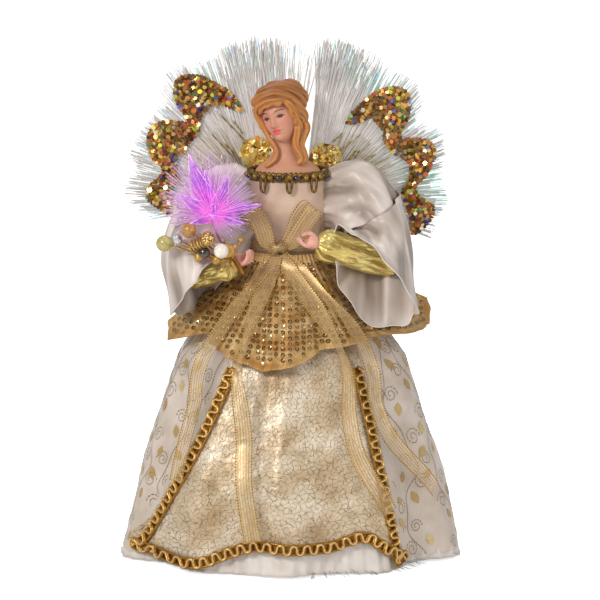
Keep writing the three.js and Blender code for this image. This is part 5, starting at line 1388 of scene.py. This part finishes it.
# Middle line of each tress, and its radius at the root and the tip
TRESSES = [
    ([[-20.6, -6, 87.6], [-18.8, -9.6, 91.6], [-14.2, -13, 94.8], [-8, -14.4, 96.4], [-2, -14, 95],
      [2.1, -12.2, 92.7], [5.4, -9.5, 89.8], [8, -7, 85.1]], 2.7, 2.2),
    ([[-19, -4, 91.2], [-15, -7.4, 96], [-8.9, -9.6, 98.6], [-2, -9.4, 98.2], [3.5, -7.8, 95.6],
      [7.7, -4.5, 91.2], [10.2, -2, 86.1]], 3.0, 2.4),
    ([[-13.5, -1, 97], [-7.5, -3, 99], [-1.1, -3.2, 98.8], [4.4, -1.6, 96.8], [9, 1, 93.2],
      [11, 3, 88.6]], 3.0, 2.6),
    ([[-2.9, -15, 92.9], [-7.5, -15.6, 92.4], [-12.1, -14.8, 91.8], [-16.2, -13, 89.6],
      [-18.6, -10.4, 86.6], [-18.8, -8, 82.6], [-17.2, -7.4, 78.2], [-15.4, -7.6, 74.4],
      [-13.4, -8, 70.9]], 2.2, 1.3),
    ([[-3.4, -15.4, 91.3], [-6.4, -15.8, 90.4], [-9.2, -15.2, 90.4], [-12.4, -14.2, 88.8],
      [-15.6, -12.2, 87.2], [-16.8, -9.8, 83]], 1.8, 1.5),
    ([[-2.9, -15, 92.7], [0.3, -14, 90.4], [2.4, -12.4, 87.4], [4.4, -10.8, 84.2], [5.4, -9.6, 80.4],
      [7.2, -8.6, 76.2], [6.8, -8.6, 71]], 2.4, 2.0),
    ([[-1.1, -14.8, 90.2], [1.4, -13.4, 87.8], [2.2, -12, 83.4], [4.4, -10.6, 81.2],
      [4.2, -9.8, 76.6]], 1.9, 1.5),
    ([[-0.2, -13, 93.6], [4, -11, 90.4], [7.2, -8.5, 86.2], [9.8, -6.2, 81.7], [9.6, -5.2, 76.8],
      [10.6, -5, 72.4]], 2.8, 2.2),
    ([[2.4, -11.6, 90.6], [5.8, -10, 87], [6, -9.6, 83], [8.6, -7.8, 80], [8.2, -7.6, 76.4]], 2.0, 1.7),
    ([[9.2, -6, 79.4], [11, -6.5, 74], [9.2, -7.5, 68.6], [8.2, -8.4, 63.9], [9.8, -9.5, 59.4],
      [10.2, -10.4, 55.8], [7.4, -11.6, 52.4]], 2.6, 1.5),
    ([[6.6, -8.2, 78.2], [6.0, -8.8, 72.4], [4.8, -9.2, 66.8], [5.0, -9.8, 62.7], [7.2, -10.6, 58.7],
      [7.8, -11.4, 55.4], [5.6, -12.2, 53]], 2.8, 1.7),
    ([[-18.2, -6, 82.6], [-15.6, -6.8, 76.6], [-12.6, -7.8, 70.7], [-9.8, -8.8, 65.8], [-7.8, -9.4, 61.7],
      [-8, -10, 57.4], [-10.3, -10.6, 53.4], [-14, -10.6, 50.9]], 1.8, 1.2),
    ([[-17, -7.6, 80.6], [-14, -8.2, 74.1], [-10.8, -9.2, 68.2], [-8.4, -9.8, 64.4], [-6.6, -10.2, 60.2],
      [-7.6, -11, 56], [-11, -11.4, 52.6]], 1.3, 1.0),
]
for path, thick, thin in TRESSES:
    line = spline(path, TRESS_ROWS)
    along = np.linspace(0, 1, TRESS_ROWS)
    taper = lerp(thick, thin, along) * (0.6 + 0.4 * smooth(np.minimum(along, 1 - along), 0, 0.12))
    sweep(hair, line + UP, taper, 28, 5, 0.12, 0.3)
for k in range(BUN_COILS):
    t = np.linspace(0, 2.6 * math.pi, 70)
    size = 7.4 - 0.8 * t / TAU * 2 - k * 0.9
    coil = np.stack([
        4.5 + size * np.cos(t + k), -10.5 - 1.1 * k - 0 * t, 9.5 + size * 0.9 * np.sin(t + k),
    ], -1)
    sweep(hair, in_head(coil), 2.2, 20, 6, 0.08, 0.5)
hair_points, hair_faces, hollow = melt(hair, HAIR_VOXEL, 2)
# Paint darker in the hollows, partly as a paint wash and partly as painted shade, and darker towards the
# crown
crown = smooth(hair_points[:, 2] - UP[2], 88, 98)
share = np.clip((0.62 - 1.5 * hollow) * (1 - 0.45 * crown), 0, 1)[:, None]
hair_paint = lerp(np.array(srgb(96, 50, 14)[:3]), np.array(srgb(206, 136, 66)[:3]), share)
moulding = Batch().add(hair_points, [hair_faces])
moulding.make("doll_hair_waves", HAIR, slot="hair", nodes=["doll_hair"], paint=hair_paint)


# Neck trim: a ring of gold beads and braid with three drop loops
TRIM_HEIGHT = 45.6
TRIM_BEADS = 28
trim = Batch()
turn = np.linspace(-math.pi, math.pi, 240, endpoint=False)
ring = oval(turn, 19.6 + 0 * turn, TRIM_HEIGHT)
ring_wave = upright(2.2 * np.sin(22 * turn))
sweep(trim, ring + ring_wave, 1.15, 8, 3, 0.2, 40)
sweep(trim, ring - ring_wave, 1.15, 8, 3, 0.2, -40)
stones = Batch()
for k, angle in enumerate(np.linspace(-math.pi, math.pi, TRIM_BEADS + 1)[:-1]):
    at = oval(np.array(angle), 20.8, TRIM_HEIGHT - 0.2)
    if k % 2:
        ball(stones, at, [2.5, 1.7, 1.8], 12, 8, [[0.9, 0.5]])
    else:
        ball(trim, at, 2.1, 12, 8, [[0.9, 0.5]])
TRIM_STONE = make_bead("trim_stone", srgb(22, 14, 10), srgb(60, 40, 24), 0.15)
stones.make("neck_trim_stones", TRIM_STONE, slot="gold_braid")
for angle in (-34, 2, 36):
    top = oval(np.array(math.radians(angle)), 22.0, TRIM_HEIGHT + 0.2)
    ball(trim, top + [0, -0.4, 0.4], 2.0, 14, 10, [[0.7, 0.5]])
    t = np.linspace(0, TAU, 30)
    loop = top + np.stack([1.6 * np.sin(t), -0.8 - 0.4 * np.sin(t / 2), -4.4 + 4.4 * np.cos(t)], -1)
    sweep(trim, loop, 0.8, 6, 3, 0.15, 8)
trim.make("neck_trim_beads", TRIM, slot="gold_braid", nodes=["neck_trim"])


# Wings: bundles of fibres, glitter scrolls, rosettes and tinsel sticks
FANS = {
    # Side of each fan's root, then its angles in degrees with their reach
    "left": (-17, [
        [85, 95], [97, 98], [102, 97], [108, 90], [116, 91], [122, 96], [126, 95], [130, 91], [132, 85],
        [138, 82], [146, 83], [153, 83], [162, 83], [165, 78], [179, 82], [190, 67],
    ]),
    "right": (17, [
        [-20, 74], [-10, 74], [-2, 80], [9, 76], [17, 81], [24, 86], [30, 86], [38, 75], [43, 88],
        [50, 94], [55, 92], [59, 91], [65, 94], [70, 96], [75, 97], [83, 99], [90, 95],
    ]),
}
# Strands behind the head: the body that holds them, the side of their root, angles with reach, count
CENTRE_FANS = {
    "left": [
        ("left_wing", -10, [[94, 98], [108, 94]], 170), ("figure", -5, [[88, 95], [96, 98]], 130),
        ("figure", -3, [[75, 90], [89, 96]], 16),
    ],
    "right": [
        ("right_wing", 10, [[62, 90], [72, 96], [83, 97]], 300), ("figure", 3, [[81, 97], [95, 92]], 14),
    ],
}
FAN_FRONT = 23.0
FAN_BACK = 27.8
FAN_COUNT = 1200
FAN_HEIGHT = 26
CENTRE_HEIGHT = 28
FIBRE_RADIUS = 0.33
STRAND_RINGS = 3
STRAND_SIDES = 3


def strands(batch, root, tips, count, front, back, inner, thick, fray):
    """Fine fibres fanned out from a root, each with its own depth, reach and luck."""
    low, high = tips[0][0], tips[-1][0]
    angle = np.radians(low + (high - low) * (np.arange(count) + rng.random(count)) / count)
    reach = rows(tips, np.degrees(angle))[0] * (1 - fray * rng.random(count) ** 1.4)
    angle = angle + rng.normal(0, 0.012, count)
    depth = front + (back - front) * rng.random(count)
    start = inner * (0.7 + 0.3 * rng.random(count))
    station = np.array([0.0, 0.5, 1.0])
    far = start[:, None] + (reach - start)[:, None] * station
    bow = rng.normal(0, 0.012, count)[:, None] * far * (station - 0.5) ** 2 * 4
    lean = angle[:, None] + bow / np.maximum(far, 1)
    points = np.stack([
        root[0] + far * np.cos(lean), depth[:, None] + rng.normal(0, 0.5, count)[:, None] * station,
        root[1] + far * np.sin(lean),
    ], -1)
    across = np.stack([-np.sin(angle), 0 * angle, np.cos(angle)], -1)
    radius = (thick * (0.8 + 0.4 * rng.random(count)))[:, None] * np.array([1, 1, 0.85])
    corner = np.linspace(0, TAU, STRAND_SIDES, endpoint=False)
    level = np.array([0, 1.0, 0])
    ring = np.cos(corner)[None, :, None] * across[:, None] + np.sin(corner)[None, :, None] * level
    tubes = points[:, :, None] + radius[..., None, None] * ring[:, None]
    base = np.arange(count)[:, None, None] * STRAND_RINGS * STRAND_SIDES
    quads = tube_faces(STRAND_RINGS, STRAND_SIDES)
    ends = base[:, 0] + np.array([[6, 7, 8]])
    luck = rng.random(count)[:, None, None] + np.zeros((1, 1, STRAND_SIDES))
    flat = np.stack(np.broadcast_arrays(station[None, :, None], luck), -1)
    return batch.add(tubes + UP, [(base + quads[None]).reshape(-1, 4), ends], flat)


# Outlines of the glitter scrolls, seen from the front
GLITTER_LINES = {
    "left": [
        [-28, 81], [-32, 87.5], [-37.5, 93], [-44.5, 97], [-52, 100.5], [-61, 101.5], [-66, 99],
        [-68, 92.5], [-67, 86.5], [-64, 81], [-61, 76.5], [-59, 72.5], [-66, 73], [-73, 73.5],
        [-78.5, 72], [-82.5, 68], [-84, 62.5], [-83.5, 57], [-81, 51.5], [-76, 47], [-75, 42],
        [-78.5, 38], [-82.5, 35], [-85, 30], [-84, 26.5], [-80, 23], [-74, 19], [-68, 15.5], [-63, 14],
        [-62, 17], [-66, 22], [-69, 27], [-70, 32], [-67, 38], [-66, 43], [-68, 48], [-67, 52.5],
        [-63.5, 56], [-60, 59.5], [-57, 63.5], [-54, 68], [-53.5, 73.5], [-52, 77], [-49.5, 80.5],
        [-45.5, 84], [-40, 84.5], [-34, 82],
    ],
    "right": [
        [35.5, 73], [39, 79], [43, 83], [48, 87.5], [53.5, 91.5], [59.5, 93.5], [65.5, 94], [70, 92],
        [72.5, 88], [73, 82.5], [72, 76.5], [69.5, 71.5], [67, 66], [69, 61.5], [73, 63], [79, 62.5],
        [85, 61], [88, 56], [87.5, 50.5], [85, 45.5], [82, 40.5], [78, 36.5], [75.5, 32.5], [80.5, 26.5],
        [87.5, 21], [85.5, 14], [81, 9], [75.5, 5], [74, 10], [73, 18], [70.5, 25], [69, 29.5], [70, 34],
        [73, 39], [73.5, 43], [74, 47], [71.5, 50], [67.5, 53], [62.5, 55], [60, 58.5], [58, 63],
        [58, 67.5], [55.5, 70.5], [53, 74], [50, 76.5], [45.5, 75], [40.5, 73],
    ],
}
ROSETTES = {"left": (-19, 55), "right": (22, 51)}
STICKS = {
    "left": [[-41, 78, -26, 62], [-33, 74, -27, 66], [-46, 66, -33, 52], [-38, 60, -28, 50]],
    "right": [[27, 61, 33, 67], [31, 56, 44, 66], [36.6, 50, 43, 56], [40, 46, 53, 54]],
}
TINSEL_FANS = {"left": [[104, 40], [125, 62], [150, 66], [172, 58]], "right": [[20, 52], [45, 50], [70, 44]]}
GLITTER_PITCH = 2.3
GLITTER_DEPTH = 21.4
ROSETTE_COUNT = 130
ROSETTE_RADIUS = 9.2
ROSETTE_DEPTH = 20.4
STICK_ROWS = 14


def inside(points, polygon):
    """True for the points that lie in the polygon."""
    x, y = points[:, 0], points[:, 1]
    hit = np.zeros(len(points), bool)
    for (x0, y0), (x1, y1) in zip(polygon, np.roll(polygon, -1, 0)):
        crosses = (y0 > y) != (y1 > y)
        hit ^= crosses & (x < (x1 - x0) * (y - y0) / (y1 - y0 + 1e-12) + x0)
    return hit


def make_fan(side):
    """The wing's fibres on two backing strips, and the strands behind the head on its side."""
    body = f"{side}_wing"
    root_x, tips = FANS[side]
    root = (root_x, FAN_HEIGHT)
    fan = strands(Batch(), root, tips, FAN_COUNT, FAN_FRONT, FAN_BACK, 12, FIBRE_RADIUS, 0.34)
    centre = Batch()
    for holder, centre_x, span, number in CENTRE_FANS[side]:
        own = holder == body
        depths = (FAN_FRONT, FAN_BACK) if own else (FAN_FRONT - 2.5, FAN_FRONT - 0.5)
        bundle = fan if own else centre
        strands(bundle, (centre_x, CENTRE_HEIGHT), span, number, *depths, 10, FIBRE_RADIUS, 0.25)
    centre.make(f"{side}_centre_strands", FIBRES[side], "figure", "fibre")
    low, high = tips[0][0], tips[-1][0]
    arc = np.radians(np.linspace(low - 3, high + 3, 40))
    backing = np.stack([
        np.stack([root_x + r * np.cos(arc), FAN_BACK + 0 * arc, FAN_HEIGHT + r * np.sin(arc)], -1)
        for r in (7, 13)
    ], 1) + UP
    fan.add(backing, grid_faces(len(arc), 2))
    fan.add(backing - [0, FAN_BACK - FAN_FRONT, 0], grid_faces(len(arc), 2))
    fan.make(f"{side}_wing_strands", FIBRES[side], body, "fibre", [f"{side}_wing_fibres"])


def make_glitter(side):
    """Spangles in close rows within the scroll's outline, and along it."""
    outline = np.array(GLITTER_LINES[side], float)
    x, y = np.meshgrid(np.arange(-95, 95, GLITTER_PITCH), np.arange(0, 105, GLITTER_PITCH * 0.87))
    x = x + (np.arange(len(x)) % 2)[:, None] * GLITTER_PITCH / 2
    spots = np.stack([x.ravel(), y.ravel()], -1) + rng.normal(0, 0.32, (x.size, 2))
    rim = even(spline(np.vstack([outline, outline[:1]]), 400), GLITTER_PITCH)[0]
    spots = np.vstack([spots[inside(spots, outline)], rim])
    depth = GLITTER_DEPTH - rng.random(len(spots)) * 1.2
    centres = np.stack([spots[:, 0], depth, spots[:, 1]], -1) + UP
    normals = [0, -1.0, 0] + rng.normal(0, 0.34, centres.shape)
    dots = discs(Batch(), centres, normals, rng.uniform(1.2, 1.6, len(spots)), 8)
    dots.make(f"{side}_wing_spangles", GLITTER, f"{side}_wing", "gold_glitter", facets=True)


def make_rosette(side):
    """A low dome of loose sequins."""
    spot_x, spot_z = ROSETTES[side]
    turn = rng.random(ROSETTE_COUNT) * TAU
    far = ROSETTE_RADIUS * np.sqrt(rng.random(ROSETTE_COUNT))
    dome = np.sqrt(np.maximum(0, 1 - (far / 10) ** 2)) * 3.2
    aside, above = far * np.cos(turn), far * np.sin(turn)
    centres = np.stack([spot_x + aside, ROSETTE_DEPTH - dome, spot_z + above], -1) + UP
    normals = np.stack([aside / 11, -1 + 0 * far, above / 11], -1)
    normals = normals + rng.normal(0, 0.45, (ROSETTE_COUNT, 3))
    rosette = discs(Batch(), centres, normals, rng.uniform(1.5, 2.1, ROSETTE_COUNT), 8)
    rosette.make(f"{side}_rosette_sequins", ROSETTE, f"{side}_wing", "gold_glitter", facets=True)


def make_tinsel(side):
    """A few thick sticks and many thin ones."""
    sticks = Batch()
    for x0, z0, x1, z1 in STICKS[side]:
        line = np.linspace([x0, 21.4, z0], [x1, 20.8, z1], STICK_ROWS) + UP
        sweep(sticks, line, 0.5 + 0.12 * np.cos(np.arange(STICK_ROWS) * 2.2), 5, 2, 0.3, 5)
    strands(sticks, (FANS[side][0], FAN_HEIGHT), TINSEL_FANS[side], 90, 21.2, 22.4, 14, 0.2, 0.55)
    sticks.make(f"{side}_wing_tinsel", TINSEL, f"{side}_wing", "gold_glitter")


for side in FANS:
    make_fan(side)
    make_glitter(side)
    make_rosette(side)
    make_tinsel(side)


# Star flower: hollow-looking petals round a bright core, with a spray of fine fibres
STAR = np.array([-45, -37, 27.5])
PETALS = [
    [-14, -3, 36], [-4, -6, 27], [10, -5, 23], [29, -4, 6], [19, -8, -5], [-13, -8, -5], [-20, -6, 12],
    [2, -12, 8],
]
PETAL_SWELL = np.array([0.55, 0.9, 1.0, 0.95, 0.82, 0.64, 0.44, 0.22, 0.03])
PETAL_SIDES = 6
RIDGES = 3
star = Batch()
ridges = Batch()
along = np.linspace(0, 1, len(PETAL_SWELL))
petal_flat = pairs(along, np.zeros(PETAL_SIDES))
for petal in np.array(PETALS, float):
    path = STAR + petal * along[:, None] + UP
    swell_line = PETAL_SWELL * (0.135 * np.linalg.norm(petal) + 1.4)
    sweep(star, path, swell_line, PETAL_SIDES, RIDGES, 0.22, 0.1, flat=petal_flat)
    across, out = frames(path)
    for k in range(RIDGES):
        turn = (TAU * k / RIDGES - 0.1 * TAU * along)[:, None]
        edge = path + (1.22 * swell_line)[:, None] * (np.cos(turn) * across + np.sin(turn) * out)
        sweep(ridges, edge, 0.2, 5)
ball(star, STAR + UP, 4, 16, 10, [[0.0, 0.0]])
ridges.make("star_flower_ridges", RIDGE, "figure", "crystal")
star.make("star_flower_crystal", CRYSTAL, "figure", "crystal", ["star_flower"], facets=True)
# Angles with reach, count, front and back depth, inner radius and fray of the spray and its haze
SPRAYS = [
    ([[5, 24], [40, 29], [80, 38], [110, 41], [140, 37], [175, 31], [210, 26]], 360, -32.4, -29.2, 5, 0.45),
    ([[-30, 16], [10, 28], [60, 34], [120, 36], [200, 24]], 110, -46.5, -40.5, 4, 0.5),
    ([[-85, 15], [-50, 22], [-5, 24]], 60, -44.5, -41.5, 4, 0.5),
]
SPRAY_RADIUS = 0.16
spray = Batch()
for tips, number, front, back, inner, fray in SPRAYS:
    strands(spray, (STAR[0], STAR[2]), tips, number, front, back, inner, SPRAY_RADIUS, fray)
spray.make("star_spray_strands", STAR_FIBRE, "figure", "fibre", ["star_fibres"])


# Bead spray: balls on gold wires, with a coil that ends at the berry
BEADS = [
    ("bead_yellow", YELLOW, [-73.6, -43, 10.2], 4.9, "yellow_bead"),
    ("bead_silver", SILVER, [-66.6, -39.5, 11.6], 3.9, "silver_glitter"),
    ("bead_amber", AMBER, [-59, -43, 18.2], 4.6, "amber_bead"),
    ("bead_berry", BERRY, [-47.6, -50.8, 14.4], 4.4, "gold_glitter"),
    ("bead_dark", DARK, [-49.8, -50, 5.8], 3.7, "dark_metal"),
    ("bead_pearl", PEARL, [-39.6, -51.8, 7.2], 4.6, "pearl"),
]
BRASS_BALLS = [([-42.5, -48.5, 1.2], 2.9), ([-53, -46, 2.6], 2.9), ([-28, -46.4, 13], 1.7)]
BRASS_DISC = np.array([-35.8, -49.6, 7.0])
SPRAY_ROOT = np.array([-34, -43.9, 0])
SPRAY_FOOT = np.array([-30.5, -44.9, -6.5])
COIL_START = np.array([-57.5, -47.5, 9])
COIL_END = np.array([-45.5, -52, 14.2])
COIL_TURNS = 7
COIL_RADIUS = 3.1
wires = Batch()
for name, material, at, radius, slot in BEADS:
    at = np.array(at, float)
    ball(Batch(), at + UP, radius, 32, 22).make(f"{name}_ball", material, "figure", slot, [name])
    sag = (SPRAY_ROOT + at) / 2 + [0, -1.2, -0.6]
    sweep(wires, spline([SPRAY_ROOT, sag, at], 14) + UP, 0.6, 6, 2, 0.15, 6)
for spot, radius in BRASS_BALLS:
    spot = np.array(spot, float)
    sweep(wires, np.linspace(SPRAY_ROOT, spot, 6) + UP, 0.5, 6)
    ball(wires, spot + UP, radius, 18, 12, [[0.9, 0.5]])
ball(wires, BRASS_DISC + UP, [4.4, 1.6, 4.4], 24, 14, [[0.6, 0.5]])
t = np.linspace(0, COIL_TURNS * TAU, 240)
axis = unit(COIL_END - COIL_START)
wide = unit(np.cross(axis, [0, 0, 1.0]))
tall = np.cross(axis, wide)
coil = COIL_START + (COIL_END - COIL_START) * (t / t[-1])[:, None]
coil = coil + COIL_RADIUS * (np.cos(t)[:, None] * wide + np.sin(t)[:, None] * tall)
sweep(wires, coil + UP, 0.55, 6)
sweep(wires, np.linspace(SPRAY_ROOT, SPRAY_FOOT, 6) + UP, 1.1, 8)
wires.make("bead_wires_gold", BRASS, "figure", "gold_metal", ["bead_wires"])


# Loose fibre ends below the hem
HEM_FIBRES = 46
hem_fibres = Batch()
for angle in rng.uniform(0.1, 1.0, HEM_FIBRES):
    foot = around(np.array(angle), 86 + rng.uniform(0, 3), rng.uniform(2.5, 5))
    tip = around(np.array(angle + rng.normal(0, 0.03)), 97 + rng.uniform(0, 6), rng.uniform(0.4, 1.2))
    flat = pairs(np.linspace(0, 1, 4), [rng.random()] * 3)
    sweep(hem_fibres, np.linspace(foot, tip, 4), 0.17, 3, flat=flat)
hem_fibres.make("hem_fibres", HEM_FIBRE, slot="fibre")


# Floor, world and lights
FLOOR_HALF = 6
floor_corners = [(x * FLOOR_HALF, y * FLOOR_HALF, 0) for x, y in ((-1, -1), (1, -1), (1, 1), (-1, 1))]
floor_mesh = bpy.data.meshes.new("floor")
floor_mesh.from_pydata(floor_corners, [], [(0, 1, 2, 3)])
floor_finish = Finish("floor_white", 0.9)
floor_finish.put("Base Color", GREY[10])
seen = floor_finish.node("LightPath").outputs["Is Camera Ray"]
floor_finish.glow(GREY[10], floor_finish.times(seen, 0.75))
floor_mesh.materials.append(floor_finish.material)
floor = bpy.data.objects.new("floor", floor_mesh)
bpy.context.scene.collection.objects.link(floor)

# How strongly the world lights the scene, and how bright the camera sees it
WORLD_LIGHT = 0.46
WORLD_SEEN = 1.1
LAMP_AIM = np.array([0, 0, 0.15])
world = bpy.data.worlds.new("studio")
bpy.context.scene.world = world
world.use_nodes = True
tree = world.node_tree
ground = tree.nodes["Background"]
path_node = tree.nodes.new("ShaderNodeLightPath")
level = tree.nodes.new("ShaderNodeMapRange")
level.inputs["To Min"].default_value = WORLD_LIGHT
level.inputs["To Max"].default_value = WORLD_SEEN
tree.links.new(path_node.outputs["Is Camera Ray"], level.inputs["Value"])
tree.links.new(level.outputs[0], ground.inputs["Strength"])
ground.inputs["Color"].default_value = (1, 1, 1, 1)


def lamp(name, place, size, power, colour=(1, 1, 1)):
    data = bpy.data.lights.new(name, "AREA")
    data.size = size
    data.energy = power
    data.color = colour
    lamp_object = bpy.data.objects.new(name, data)
    lamp_object.location = place
    way = LAMP_AIM - np.array(place)
    lamp_object.rotation_euler = (
        math.atan2(math.hypot(way[0], way[1]), -way[2]), 0, math.atan2(way[1], way[0]) - math.pi / 2
    )
    bpy.context.scene.collection.objects.link(lamp_object)


lamp("key", (-0.8, -1.2, 1.0), 0.4, 13.5, (1.0, 0.97, 0.93))
lamp("fill", (1.1, -1.0, 0.6), 0.9, 4, (1.0, 0.96, 0.92))
lamp("top", (0.1, 0.5, 1.3), 0.8, 4)
